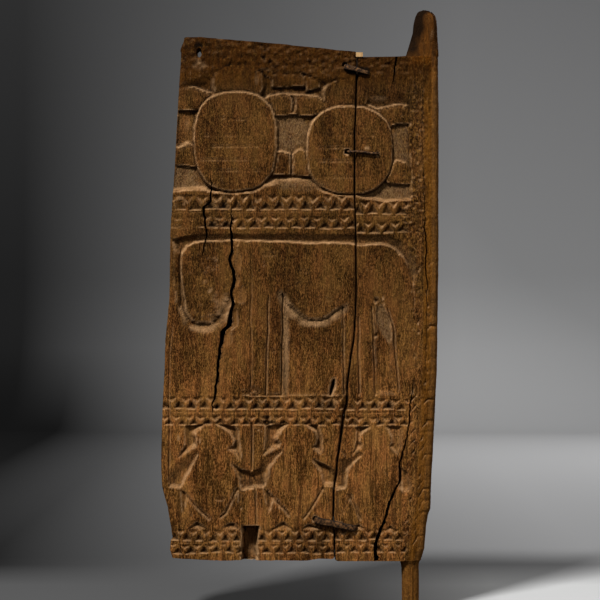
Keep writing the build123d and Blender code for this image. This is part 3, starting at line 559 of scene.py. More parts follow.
# A stroke's place in its pitch comes from the sum of the pitches below it, shifted by the place across.
def carveBorder(field, x, z):
    given = borderSet
    edge = valueAt(stileEdge, z) - x
    heights = np.linspace(60.0, 900.0, 400)
    turns = np.cumsum(1.0 / valueAt(given, heights, "pitch")) * (heights[1] - heights[0])
    for column in given["columns"]:
        off = (column["inset"] - edge) / column["half"]
        shape = np.interp(z, (300, 380, 560, 620), (1.4, 0.0, 0.0, -0.9)) * off
        chevron = np.interp(z, (300, 380, 560, 620), (0.0, 1.0, 1.0, 0.0)) * (np.abs(off) - 0.5)
        ragged = 2.2 * valueNoise(x / 5.0, z / 11.0, 78) + 1.4 * valueNoise(x / 2.5, z / 4.0, 79)
        turn = np.interp(z - 6.0 * (shape + chevron) + ragged, heights, turns) + column["shift"]
        rise = (turn % 1.0) * valueAt(given, z, "pitch")
        stroke = np.minimum(rise / 1.3, 1.0 - (rise - 1.3) / given["width"])
        worn = np.maximum(0.7 + 0.9 * valueNoise(x / 6.0, z / 10.0, 80), 0.0)
        worn *= 1.0 - column["fade"] * ease((z - 520.0) / 90.0)
        ends = ease((1.08 - np.abs(off)) / 0.3) * ease((z - 84.0) / 16.0) * ease((846.0 - z) / 30.0)
        raiseTo(field["depth"], ..., given["depth"] * stroke * worn * ends)


# Holes and losses: round pits at the staples' legs, a lock slot, a notch for the sill and small knots.
pits = [(-105.8, 869.6, 3.4, 12), (-102.1, 730.4, 3.6, 12), (-53.1, 726.2, 2.2, 6), (-153.3, 142.1, 3.6, 12),
        (-89, 127, 3.0, 9), (-55.2, 492.8, 3.4, 4), (-55.2, 436.8, 3.0, 3.5), (-42.4, 675.2, 2.0, 6),
        (-231.2, 296, 5.0, 5), (-230, 303, 4.0, 4), (-311, 320.6, 3.2, 6), (-228, 162, 4, 2.5),
        (3.6, 352, 2, 2)]
notch = [(-269.6, 131), (-243.2, 131), (-245.6, 96), (-246.6, 84), (-248, 74), (-271, 74), (-270.6, 96)]
lockSlot = [(-125.5, 366), (-121, 366), (-122.5, 352), (-127.5, 339), (-131.5, 339), (-129.5, 352)]


# A pit is a smooth step over the distance from its middle; notch and slot are steep cuts.
def carveLosses(field, x, z):
    for centreX, centreZ, radius, depth in pits:
        distance = np.hypot(x - centreX, z - centreZ)
        raiseTo(field["depth"], ..., depth * fade((distance - radius * 0.6) / (radius * 0.7)))
    facetCut(field, x, z, withWidth(notch, 2.6), 20.0)
    facetCut(field, x, z, withWidth(lockSlot, 2.2), 18.0)


# The registers, bands and losses at the given points, on lines bent by a hand-cut waviness.
def cutFace(x, z, side):
    field = {key: np.zeros(x.shape) for key in ("depth", "dust", "grimeAndShade")}
    wavyX = x + 1.1 * valueNoise(x / 17.0, z / 17.0, 11) + 0.5 * valueNoise(x / 6.0, z / 6.0, 12)
    wavyZ = z + 1.0 * valueNoise(x / 19.0, z / 19.0, 13) + 0.5 * valueNoise(x / 6.0, z / 6.0, 14)
    carveTortoises(field, wavyX, wavyZ)
    carveElephant(field, wavyX, wavyZ)
    carveLizards(field, wavyX, wavyZ)
    carveBands(field, wavyX, wavyZ, side)
    if side > 0:
        carveBorder(field, wavyX, wavyZ)
    carveLosses(field, x, z)
    return field


# How rough the hewing is: most in the head and on the stile's border, least on the shells and bodies.
def hewnShare(x, z):
    border = ease((x + 24.0) / 14.0) * (0.4 + 0.3 * ease((z - 540.0) / 80.0))
    return np.maximum(0.15 + 0.55 * ease((z - 838.0) / 22.0), border)


# The whole face: the mean of four cuts a little apart, so that thin lines stay whole between the columns,
# then long grain, pores and a broad unevenness laid over everything.
def carvedFace(x, z, side):
    spread = 0.45
    parts = [cutFace(x + dx, z + dz, side) for dx, dz in ((-spread, -spread), (-spread, spread),
                                                          (spread, -spread), (spread, spread))]
    field = {key: sum(part[key] for part in parts) / 4 for key in ("depth", "dust", "grimeAndShade")}
    headWear = ease((z - 846.0) / 24.0) * fade(field["depth"] / 2.0)
    field["depth"] += headWear * (1.2 + 1.2 * valueNoise(x / 9.0, z / 6.0, 15))
    rough = (hewnShare(x, z) - 0.15) * fade((field["depth"] - 4.0) / 2.0)
    rough *= ease((valueAt(stileEdge, z) - 17.0 - x) / 6.0)
    tooled = 0.9 + 2.0 * valueNoise(x / 5.2, z / 3.8, 16) + 0.7 * valueNoise(x / 3.0, z / 8.0, 17)
    field["depth"] += rough * tooled
    grain = 0.22 * valueNoise(x / 1.9, z / 16.0, 21) + 0.3 * valueNoise(x / 4.2, z / 34.0, 22)
    pores = 0.8 * clipped(valueNoise(x / 2.4, z / 7.0, 23) - 0.4)
    broad = 0.7 + 0.6 * valueNoise(x / 60.0, z / 90.0, 24)
    field["depth"] += 0.45 + grain + pores + broad
    return field


# Columns across a face, row by row: even steps between the guides, and at each guide a fixed set of
# columns that keeps its lips and walls sharp.
def acrossFace(left, right, guides, counts, lipStep=1.3):
    shares = np.array((-1.0, -0.55, 0.0, 0.55, 1.0))
    blocks = []
    start = left
    for guide, count in zip(guides, counts):
        half = np.maximum(guide["half"], 0.3)[:, None]
        lips = guide["x"][:, None] + np.concatenate(
            [-half - lipStep, half * shares, half + lipStep], axis=1)
        steps = np.linspace(0.0, 1.0, count, endpoint=False)
        blocks += [start[:, None] + (lips[:, :1] - start[:, None]) * steps, lips[:, :-1]]
        start = lips[:, -1]
    steps = np.linspace(0.0, 1.0, counts[-1])
    blocks.append(start[:, None] + (right - start)[:, None] * steps)
    return np.concatenate(blocks, axis=1)


# A crack's guide at each row: its middle and half its width, both carried along the heights given.
def crackGuide(name, rows, narrow=1.0):
    crack = cracks[name]
    ragged = lineNoise(rows, 5.0, 3.0, 41)
    middle = valueAt(crack, rows) + 0.9 * ragged + 0.8 * lineNoise(rows, 13.0, 6.0, 48)
    half = valueAt(crack, rows, "width") / 2 * narrow
    return dict(x=middle, half=half * (1.0 + 0.15 * ragged), deep=crack["deep"])


# A scored line's guide: its place at each row and its depth there.
def scoredGuide(name, rows):
    line = scored[name]
    wavy = 0.7 * lineNoise(rows, 26.0, 3.0, 42) + 0.25 * lineNoise(rows, 7.0, 3.0, 43)
    depth = valueAt(line, rows, "depth")
    return dict(x=valueAt(line, rows) + wavy, half=0.3 + 2.1 * ease(depth), line=depth)


# A scored line's depth: a V over its half width, steeper on the left.
def scoredDepth(x, guides):
    depth = np.zeros(x.shape)
    for guide in guides:
        off = (x - guide["x"][:, None]) / guide["half"][:, None]
        slopes = clipped(1.0 - np.where(off < 0, -off / 0.8, off))
        depth = np.maximum(depth, guide["line"][:, None] * slopes)
    return depth


# A crack's depth: full within 0.62 of its half width, eased to nothing at 0.98, and growing with its width.
def crackDepth(x, guides, deepest=None):
    depth = np.zeros(x.shape)
    for guide in guides:
        half = guide["half"][:, None]
        near = np.abs(x - guide["x"][:, None]) / np.maximum(half, 0.3)
        deep = (deepest or guide["deep"]) * ease(half / 1.1)
        depth = np.maximum(depth, deep * fade((near - 0.62) / 0.36))
    return depth


# Lips of the long crack: broken wood sinks towards the right-hand lip in lumps.
def brokenLips(x, z, guide):
    gap = x - guide["x"][:, None] - guide["half"][:, None]
    lumps = 0.5 + 0.5 * valueNoise(x / 5.0, z / 11.0, 44)
    sink = ease(guide["half"][:, None] / 2.0) * clipped(1.0 - gap / 9.0) * (gap > 0)
    return 3.2 * sink * lumps


# Chunks broken out beside the long crack: the middle and half sizes of each oval scoop.
lipChunks = [((-277, 556), (6, 14)), ((-271, 500), (8.5, 13)), ((-279, 524), (5, 8)), ((-282, 462), (6, 15)),
             ((-291, 432), (5, 12)), ((-279, 588), (5, 9)), ((-300, 486), (7.5, 18)), ((-315, 461), (11, 7))]


# Each scoop is a smooth step over the share of its oval's radius, with a ragged rim.
def chunkScoops(x, z):
    share = np.zeros(x.shape)
    for middle, halves in lipChunks:
        radius = ovalRadius(x, z, middle, halves) + 0.16 * valueNoise(x / 4.0, z / 4.0, 45)
        share = np.maximum(share, fade((radius - 0.8) / 0.3))
    return share


# Rows of a plank: each stretch of height has its own step.
def rowHeights(stretches):
    parts = [np.linspace(start, end, max(2, round((end - start) / step)), endpoint=False)
             for start, end, step in stretches]
    return np.concatenate(parts + [[stretches[-1][1]]])


# Mesh from loops: points[row, place] with closed rows; quads join the rows and a many-sided face closes
# each end. Values in attributes belong to the same points.
def loopMesh(name, points, attributes, material, node):
    rowCount, placeCount = points.shape[:2]
    index = np.arange(rowCount * placeCount).reshape(rowCount, placeCount)
    following = np.roll(index, -1, axis=1)
    quads = np.stack([index[:-1], following[:-1], following[1:], index[1:]], axis=-1).reshape(-1, 4)
    faces = quads.tolist() + [index[0][::-1].tolist(), index[-1].tolist()]
    mesh = bpy.data.meshes.new(name)
    mesh.from_pydata((points.reshape(-1, 3) * mm).tolist(), [], faces)
    for label, values in attributes.items():
        layer = mesh.attributes.new(label, "FLOAT", "POINT")
        layer.data.foreach_set("value", np.ascontiguousarray(values, dtype=np.float32).ravel())
    mesh.polygons.foreach_set("use_smooth", np.ones(len(mesh.polygons), bool))
    mesh.set_sharp_from_angle(angle=np.radians(62.0))
    mesh.materials.append(material)
    mesh.update()
    piece = addObject(name, mesh)
    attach(piece, "root")
    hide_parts(node)
    print(name, "has", len(mesh.vertices), "points")
    return piece


# Links a socket to the output that is given, or sets it to a constant; a colour gets its alpha here.
def setSocket(tree, socket, value):
    if isinstance(value, bpy.types.NodeSocket):
        tree.links.new(value, socket)
    else:
        socket.default_value = (*value, 1.0) if socket.type == "RGBA" else value


# Adds a node with the given settings, and links or sets the sockets that are given.
def addNode(tree, kind, sockets, **settings):
    node = tree.nodes.new(kind)
    for key, value in settings.items():
        setattr(node, key, value)
    for key, value in sockets.items():
        setSocket(tree, node.inputs[key], value)
    return node


# Noise drawn out along the axes whose stretch is below 1.
def stretchedNoise(tree, coordinates, stretch, scale, detail=4.0, roughness=0.6):
    mapping = addNode(tree, "ShaderNodeMapping", {"Vector": coordinates, "Scale": stretch})
    noise = addNode(tree, "ShaderNodeTexNoise", {
        "Vector": mapping.outputs[0], "Scale": scale, "Detail": detail, "Roughness": roughness})
    return noise.outputs["Fac"]


# Maps the range from low to high onto the other one, and holds it at the ends.
def ranged(tree, value, low, high, toLow=0.0, toHigh=1.0):
    return addNode(tree, "ShaderNodeMapRange", {
        "Value": value, "From Min": low, "From Max": high, "To Min": toLow, "To Max": toHigh}).outputs[0]


# The first colour, with as much of the second as the share says.
def mixed(tree, share, first, second, blend="MIX"):
    sockets = {0: share, 6: first, 7: second}
    return addNode(tree, "ShaderNodeMix", sockets, data_type="RGBA", blend_type=blend).outputs[2]


# One step of arithmetic on the values.
def combined(tree, operation, *values):
    return addNode(tree, "ShaderNodeMath", dict(enumerate(values)), operation=operation).outputs[0]


# Reads a value that belongs to the mesh's points.
def attribute(tree, name):
    return addNode(tree, "ShaderNodeAttribute", {}, attribute_name=name).outputs["Fac"]


# Starts a material: gives back its tree, its shader and the object's own coordinates as well.
def newMaterial(name, specular):
    material = bpy.data.materials.new(name)
    material.use_nodes = True
    tree = material.node_tree
    shader = tree.nodes["Principled BSDF"]
    shader.inputs["Specular IOR Level"].default_value = specular
    place = addNode(tree, "ShaderNodeTexCoord", {}).outputs["Object"]
    return material, tree, shader, place


# Ends a material: its colour, its roughness and a bump as high as the distance, in metres.
def finishSurface(tree, shader, base, roughness, relief, strength, distance):
    bump = addNode(tree, "ShaderNodeBump", {"Height": relief, "Strength": strength, "Distance": distance})
    for label, value in (("Base Color", base), ("Roughness", roughness), ("Normal", bump.outputs[0])):
        setSocket(tree, shader.inputs[label], value)


# Tones: lower paints the lower part paler, as painted light; worn is the tone of wear and painted highlights;
# darkening is the near-black tone of dirt and painted shade.
woodSet = dict(
    dark=(0.0155, 0.0057, 0.0009), mid=(0.074, 0.029, 0.0045), light=(0.175, 0.075, 0.0165),
    worn=(0.4, 0.222, 0.1), dust=(0.115, 0.06, 0.028), chalk=(0.2, 0.115, 0.046), fleck=(0.23, 0.108, 0.02),
    stile=(0.18, 0.066, 0.007), darkening=(0.005, 0.0025, 0.001), lower=(1.95, 1.9, 2.0), upper=(0.78, 0.66, 0.42),
    ruddy=(1.05, 0.965, 1.12), olive=(0.965, 1.03, 1.12), roughness=0.85,
)


# Old hardwood: long dark and light grain, a hue that wanders, the lower part painted redder and paler as
# painted light, a head darker towards the top, a smooth stile, hewn flecks, dust on the sunk ground, pale
# worn arrises with painted highlights on slopes that face the key, and dirt with painted shade in hollows,
# holes, cracks and slopes that face down.
def makeWood(name, given):
    material, tree, shader, place = newMaterial(name, 0.03)
    fine = stretchedNoise(tree, place, (1.0, 1.0, 0.13), 560.0, 3.0, 0.7)
    coarse = stretchedNoise(tree, place, (1.0, 1.0, 0.09), 190.0, 4.0, 0.65)
    broad = stretchedNoise(tree, place, (1.0, 1.0, 0.5), 24.0, 4.0, 0.6)
    fleck = stretchedNoise(tree, place, (1.0, 1.0, 0.34), 820.0, 2.0, 0.6)
    blotch = stretchedNoise(tree, place, (1.0, 1.0, 0.6), 300.0, 4.0, 0.7)
    across = stretchedNoise(tree, place, (0.16, 1.0, 1.0), 560.0, 2.0, 0.6)
    patch = stretchedNoise(tree, place, (1.0, 1.0, 0.3), 75.0, 3.0, 0.6)
    base = mixed(tree, ranged(tree, fine, 0.43, 0.53), given["dark"], given["mid"])
    for noise, low, high, share, tone in (
            (fine, 0.52, 0.62, 1.0, "light"), (coarse, 0.49, 0.36, 0.6, "dark"),
            (across, 0.53, 0.63, 0.3, "light"), (fleck, 0.54, 0.64, 0.9, "light"),
            (fleck, 0.46, 0.36, 0.9, "dark"), (broad, 0.46, 0.7, 0.5, "light"),
            (broad, 0.52, 0.34, 0.5, "dark")):
        base = mixed(tree, ranged(tree, noise, low, high, 0.0, share), base, given[tone])
    hue = mixed(tree, ranged(tree, patch, 0.38, 0.6), given["ruddy"], given["olive"])
    base = mixed(tree, 1.0, base, hue, "MULTIPLY")
    level = addNode(tree, "ShaderNodeSeparateXYZ", {"Vector": place}).outputs["Z"]
    # Painted light: the lower part is painted paler, and its grain lines are darker there.
    below = ranged(tree, level, 0.5, 0.3)
    base = mixed(tree, below, base, given["lower"], "MULTIPLY")
    lines = combined(tree, "MULTIPLY", below, ranged(tree, coarse, 0.48, 0.41, 0.0, 0.55))
    base = mixed(tree, lines, base, given["dark"])
    # Darker towards the top.
    base = mixed(tree, ranged(tree, level, 0.66, 0.86, 0.0, 0.16), base, given["dark"])
    smooth = mixed(tree, ranged(tree, coarse, 0.34, 0.6, 0.25, 1.0), given["dark"], given["stile"])
    base = mixed(tree, attribute(tree, "stile"), base, smooth)
    base = mixed(tree, ranged(tree, level, 0.83, 0.87), base, given["upper"], "MULTIPLY")
    hewn = attribute(tree, "hewn")
    dustTone = mixed(tree, ranged(tree, blotch, 0.36, 0.66), given["dust"], given["chalk"])
    # Hewn marks, dust, and the worn tone for wear and painted highlights, each mottled by its noise.
    for mark, noise, limits, tone in (
            (hewn, blotch, (0.47, 0.37, 0.0, 0.7), given["dark"]),
            (hewn, blotch, (0.555, 0.625, 0.0, 0.75), given["fleck"]),
            (attribute(tree, "dust"), fleck, (0.36, 0.58, 0.15, 1.0), dustTone),
            (attribute(tree, "wearAndHighlight"), fine, (0.3, 0.55, 0.5, 1.0), given["worn"])):
        share = combined(tree, "MULTIPLY", mark, ranged(tree, noise, *limits))
        base = mixed(tree, share, base, tone)
    # Painted shade and dirt: darkened towards the near-black tone.
    base = mixed(tree, attribute(tree, "dirtAndShade"), base, given["darkening"])
    relief = combined(tree, "MULTIPLY_ADD", hewn, blotch, combined(tree, "ADD", fine, fleck))
    finishSurface(tree, shader, base, given["roughness"], relief, 1.0, 0.0022)
    return material


ironSet = dict(black=(0.008, 0.0045, 0.0025), rust=(0.14, 0.064, 0.023), bare=(0.24, 0.14, 0.07))


# Forged iron: black scale, brown rust in patches, rubbed high spots, and black at the bar's edges: black
# scale and painted shade.
def makeIron(name, given):
    material, tree, shader, place = newMaterial(name, 0.08)
    patches = stretchedNoise(tree, place, (1.0, 1.0, 1.0), 260.0, 5.0)
    grit = stretchedNoise(tree, place, (1.0, 1.0, 1.0), 1400.0, 3.0)
    base = mixed(tree, ranged(tree, patches, 0.42, 0.62), given["black"], given["rust"])
    base = mixed(tree, ranged(tree, grit, 0.6, 0.8, 0.0, 0.5), base, given["bare"])
    base = mixed(tree, attribute(tree, "dirtAndShade"), base, given["black"])
    finishSurface(tree, shader, base, ranged(tree, grit, 0.3, 0.7, 0.5, 0.8), grit, 0.5, 0.0006)
    return material


paleSet = dict(base=(0.46, 0.29, 0.13), streak=(0.3, 0.17, 0.07), grimeAndShade=(0.01, 0.005, 0.002))


# Fresh split wood: pale, with soft darker streaks along the grain, and black below the planks' heads, where
# it lies in the joint: grime and painted shade.
def makePale(name, given):
    material, tree, shader, place = newMaterial(name, 0.1)
    streaks = stretchedNoise(tree, place, (1.0, 1.0, 0.15), 520.0, 4.0)
    level = addNode(tree, "ShaderNodeSeparateXYZ", {"Vector": place}).outputs["Z"]
    base = mixed(tree, ranged(tree, streaks, 0.35, 0.65), given["base"], given["streak"])
    # Black where it lies in the joint, as grime and painted shade.
    base = mixed(tree, ranged(tree, level, 0.8795, 0.8825), given["grimeAndShade"], base)
    finishSurface(tree, shader, base, 0.8, streaks, 0.4, 0.0005)
    return material


carvedWood = makeWood("carvedWood", woodSet)
forgedIron = makeIron("forgedIron", ironSet)
paleWood = makePale("paleWood", paleSet)
print("materials made")


# Rows of the face, upwards: where each stretch starts and ends, and the step from row to row in it
faceStretches = [(76, 128, 1.25), (128, 290, 1.95), (290, 340, 1.25), (340, 572, 3.0), (572, 600, 1.6),
                 (600, 664, 1.3), (664, 862, 2.15)]


# Wear, painted highlight, dirt, painted shade and dust of a face from its depths: arrises that stand above
# the mean around them are worn, and cut slopes that face up, where the depth grows with the height, and those
# that face left get a painted highlight, as they face the key. Hollows get dirt and painted shade; deep
# holes, the standing chips and slopes that face down get painted shade; the head is darker towards the top.
def faceMarks(depth, dust, grimeAndShade, x, z):
    crest, local = blurred(depth, 1) - depth, blurred(depth, 2) - depth
    upward = np.gradient(depth, axis=0) / np.maximum(np.gradient(z, axis=0), 0.4)
    leftward = -np.gradient(blurred(depth, 1), axis=1) / np.maximum(np.gradient(x, axis=1), 0.4)
    patchy = 0.8 + 0.5 * valueNoise(x / 7.0 + z / 3.0, depth * 0.7 + 20.0, 46)
    # Painted highlight, with real wear on the arrises: slopes that face up or left, towards the key, are made
    # paler.
    wearAndHighlight = ease((crest - 0.18) / 0.8) * (0.9 - 0.2 * ease((z - 300.0) / 80.0))
    wearAndHighlight += ease((upward - 0.14) / 0.45) * 0.6
    wearAndHighlight += ease((leftward - 0.15) / 0.5) * 0.25
    wearAndHighlight = clipped(wearAndHighlight) * patchy * (1.0 - 0.55 * ease((z - 826.0) / 40.0))
    wearAndHighlight *= 1.0 - 0.3 * ease((x + 22.0) / 8.0)
    # Painted shade, with dirt in the hollows: hollows, deep holes, standing chips and slopes that face down
    # are darkened; the head is darker towards the top.
    dirtAndShade = 0.58 * ease((z - 780.0) / 90.0) + ease((-local - 0.4) / 1.8) * 0.6
    holes = ease((depth - 9.5) / 6.0) * 0.5 * ease((z - 140.0) / 10.0)
    dirtAndShade += 0.45 * grimeAndShade + holes + ease((-upward - 0.3) / 0.8) * 0.3
    return clipped(wearAndHighlight), clipped(dirtAndShade), clipped(dust - wearAndHighlight)


# Single stains on the face, for each mark: middle, half sizes and what they add to it, mottled inside.
# Besides real stains, specks and worn patches, some are painted light: painted highlights on lit slopes, such
# as under the belly, beside its post and at the trunk's foot, and glints in a crack; the notch's floor is
# painted paler and less dark where its top wall's shadow falls.
faceStains = dict(
    wearAndHighlight=[((-338, 868), (15, 9), 0.5), ((-339, 876), (4, 6), 0.6), ((-70, 736), (6, 4), 0.7),
          ((-116, 137), (8, 3), 0.8), ((-249, 288), (1.6, 1.6), 1.0), ((-244, 284), (1.4, 1.2), 1.0),
          ((-239, 282), (1.6, 1.2), 1.0), ((2.4, 344), (3.2, 3.6), 1.0), ((-14, 194), (2.2, 12), 0.9),
          ((-335, 676), (30, 7), 0.1), ((-176, 677), (50, 13), -0.9), ((-24, 664), (34, 12), -0.6),
          ((-155, 455), (30, 7), 0.6), ((-190, 470), (9, 9), 0.6), ((-122, 467), (13, 8), 0.5),
          ((-198, 486), (5, 12), 0.5), ((-198.5, 415), (5, 92), 0.45), ((-52, 816), (17, 5), 0.3),
          ((-185, 686), (26, 5), 0.5), ((-257, 100), (13, 34), 0.3), ((-372, 272), (1.8, 7), 0.9),
          ((-338, 268), (2, 6), 0.8), ((-44.5, 495), (2.2, 4), 1.0), ((-43, 486), (2, 3), 0.9),
          ((-277, 862), (56, 26), -0.5), ((-100, 840), (46, 22), -0.35), ((-30, 838), (32, 20), -0.3),
          ((-247, 850), (5, 15), 0.6), ((-236, 862), (15, 4), 0.5), ((-3, 700), (5, 28), -0.6),
          ((-2, 748), (5, 26), -0.6), ((-2, 800), (5, 30), -0.6), ((-299, 480), (11, 26), 0.25),
          ((-330, 449), (28, 9), 0.25), ((-362, 470), (8, 22), 0.1)],
    dirtAndShade=[((-340, 901), (9, 8), 0.5), ((-86, 861), (27, 9), 0.7), ((-100, 729), (9, 5), 0.5),
          ((-120, 127), (40, 8), 0.5), ((-231, 296), (7, 7), 0.8), ((-257, 100), (13, 34), -0.8),
          ((-352, 735), (10, 16), 0.3), ((-3, 700), (5, 28), 0.35), ((-2, 748), (5, 26), 0.3),
          ((-2, 800), (5, 30), 0.4)],
    dust=[((-335, 676), (30, 7), 0.5), ((-176, 677), (50, 13), 0.9), ((-24, 664), (34, 12), 0.7),
          ((-52, 816), (17, 5), 0.15), ((-185, 686), (26, 5), 0.3), ((-257, 100), (13, 34), 0.35),
          ((-299, 480), (11, 26), 0.8), ((-330, 449), (28, 9), 0.8), ((-362, 470), (8, 22), 0.5)],
)


# Adds every stain, as a smooth step over its oval's radius, to the mark it belongs to.
def stainFace(x, z, marks):
    mottling = 0.75 + 0.5 * valueNoise(x / 3.0, z / 4.0, 47)
    for mark, stains in zip(marks, faceStains.values()):
        for middle, halves, amount in stains:
            share = fade((ovalRadius(x, z, middle, halves) - 0.45) / 0.6) * mottling
            mark += amount * clipped(share)
    return [clipped(mark) for mark in marks]


# The face with its scored lines, the marks on it, and the cracks, cut last so that their walls stay clean;
# the cracks are also painted darker as they deepen, as painted shade.
def finishedFace(x, z, side, lines, guides, broken=0.0):
    field = carvedFace(x, z, side)
    depth = field["depth"] + broken + scoredDepth(x, lines)
    wearAndHighlight, dirtAndShade, dust = stainFace(x, z, faceMarks(depth, field["dust"], field["grimeAndShade"], x, z))
    splits = crackDepth(x, guides)
    # Cracks painted darker with depth: painted shade.
    return np.maximum(depth, splits), wearAndHighlight, clipped(dirtAndShade + ease(splits / 6.0)), dust


# The joint's gap at each row, and the edge of the plank on its left (-1) or right (1) side.
def jointSide(rows, side, chatter):
    gap = valueAt(jointMiddle, rows, "gap")
    return gap, valueAt(jointMiddle, rows) + side * gap / 2 + 0.35 * chatter


# Adzed back: shallow scallops, a parabola across times one upwards in each cell of a brick-like lattice,
# plus grain.
def adzedBack(x, z):
    cellWidth, cellHeight = 31.0, 46.0
    row = np.floor(z / cellHeight)
    across = x / cellWidth + 0.5 * (row % 2) + 0.15 * valueNoise(x / 40.0, z / 40.0, 51)
    hollow = (1.0 - np.abs((across % 1.0) * 2 - 1) ** 2) * (1.0 - np.abs((z / cellHeight % 1.0) * 2 - 1) ** 2)
    grain = 0.4 * valueNoise(x / 5.0, z / 40.0, 52) + 0.3 * valueNoise(x / 2.5, z / 20.0, 53)
    return np.maximum(0.9 * hollow + grain + 0.6, 0.06)


# The wide plank: a closed loop of points round each row, from the face over the joint's side and the
# back to the free edge.
def buildWidePlank():
    given = doorSet
    rows = rowHeights(faceStretches + [(862, given["headZ"], 1.4)])
    chatter = 0.5 * lineNoise(rows, 7.0, 9.0, 61) + 0.25 * lineNoise(rows, 2.6, 5.0, 62)
    left = valueAt(freeEdge, rows) + np.abs(chatter) * 0.7
    gap, right = jointSide(rows, -1, chatter)
    guides = [crackGuide("headCrack", rows), crackGuide("longCrack", rows)]
    margin, *posts = [scoredGuide(name, rows)
                      for name in ("margin", "firstPost", "secondPost", "thirdPost", "fourthPost")]
    x = acrossFace(left + 4.4, right - 2.6, [margin, *guides, *posts], (3, 19, 9, 27, 9, 9, 38, 10))
    leftArris, rightArris = np.array((0.0, 0.5, 1.5, 3.0)), np.array((1.2, 0.4, 0.0))
    x = np.concatenate([left[:, None] + leftArris, x, right[:, None] - rightArris], axis=1)
    z = np.repeat(rows[:, None], x.shape[1], axis=1)
    # The head rises towards the free edge and the foot is worn, so the last rows are moved there.
    headEdge = np.interp(x, (-371, -362, -338, -203, -88), (911, 913.8, 913.8, 902.4, 890.2))
    headEdge = np.minimum(headEdge + 0.5 * lineNoise(x, 9.0, 4.0, 63), 913.9)
    z += (headEdge - given["headZ"]) * ease((rows[:, None] - 850.0) / 40.0) ** 1.5
    footEdge = np.interp(x, (-382, -363, -310, -163, -146, -126, -121), (80, 78.4, 76, 76, 79, 78.4, 81))
    footEdge += 0.5 * lineNoise(x, 8.0, 7.0, 64)
    z += (footEdge - given["footZ"]) * fade((rows[:, None] - given["footZ"]) / 16.0)
    left = valueAt(freeEdge, z[:, 0]) + np.abs(chatter) * 0.7
    x[:, :len(leftArris)] += (left - x[:, 0])[:, None]
    chunks = chunkScoops(x, z)
    broken = brokenLips(x, z, guides[1]) + 1.3 * chunks
    depth, wearAndHighlight, dirtAndShade, dust = finishedFace(x, z, -1, [margin, *posts], guides, broken)
    torn = clipped(ease(broken / 1.4) * 0.7 + chunks * 0.8)
    dust, wearAndHighlight = clipped(dust + 0.1 * chunks), clipped(wearAndHighlight + 0.12 * torn)
    # The free edge's arris is a quarter circle, and the joint's a soft step.
    firstX, lastX = x[:, :1], x[:, -1:]
    fromArris = np.maximum(given["arris"] - (x - firstX), 0.0)
    rounding = given["arris"] - np.sqrt(np.maximum(given["arris"] ** 2 - fromArris ** 2, 0.0))
    rounding += given["jointStep"] * fade((lastX - x) / given["jointStep"])
    front = np.stack([x, given["faceY"] + depth + rounding, z], axis=-1)

    backGuides = [crackGuide("headCrack", rows, 0.35), crackGuide("longCrack", rows, 0.35)]
    backX = acrossFace(x[:, 0] + 3.0, x[:, -1] - 2.0, backGuides, (3, 2, 10), 2.0)
    closing = (gap / 2 - given["backGap"])[:, None]
    backX = np.concatenate([firstX, firstX + 0.8, backX, lastX + closing - 0.6, lastX + closing], axis=1)
    backZ = z[:, :1] + (z[:, -1:] - z[:, :1]) * (backX - firstX) / (lastX - firstX)
    backCracks = crackDepth(backX, backGuides, 1.0)
    backDepth = adzedBack(backX, backZ) + 4.5 * backCracks
    backRound = 3.0 * fade((backX - firstX) / 3.5) + 2.0 * fade((lastX - backX) / 2.5)
    back = np.stack([backX, given["backY"] - backDepth - backRound, backZ], axis=-1)[:, ::-1]

    sidePlaces = 6

    # Sides: straight steps from one face's last point to the other's first one, waved a little.
    def side(start, end, bulge):
        steps = np.linspace(0.0, 1.0, sidePlaces + 2)[1:-1]
        points = start[:, None] + (end - start)[:, None] * steps[None, :, None]
        points[:, :, 0] += bulge * valueNoise(points[:, :, 2] / 12.0, points[:, :, 1] / 8.0, 65)
        return points

    rightSide = side(front[:, -1], back[:, 0], 0.35)
    rightSide[:, :, 0] = lastX + closing * ease(np.linspace(0.0, 2.2, sidePlaces))[None, :]
    leftSide = side(back[:, -1], front[:, 0], 0.5)
    points = np.concatenate([front, rightSide, back, leftSide], axis=1)

    # Values for a whole loop, in the order of its points.
    def around(frontValues, sideValue, backValues):
        sideValues = np.full((len(rows), sidePlaces), sideValue)
        backValues = np.broadcast_to(backValues, backX.shape)[:, ::-1]
        return np.concatenate([frontValues, sideValues, backValues, sideValues], axis=1)

    backDirt = clipped(backCracks + 0.9 * fade((lastX - backX) / 2.2))
    smoothed = np.maximum(torn * 0.6, 0.6 * ease((z - 826.0) / 30.0))
    attributes = dict(
        wearAndHighlight=around(wearAndHighlight, 0.1, 0.05), dirtAndShade=around(dirtAndShade, 0.25, backDirt), dust=around(dust, 0.0, 0.15),
        stile=around(smoothed, 0.0, 0.0), hewn=around(hewnShare(x, z), 0.3, 0.4),
    )
    return loopMesh("widePlank", points, attributes, carvedWood, "wide_plank")


widePlank = buildWidePlank()


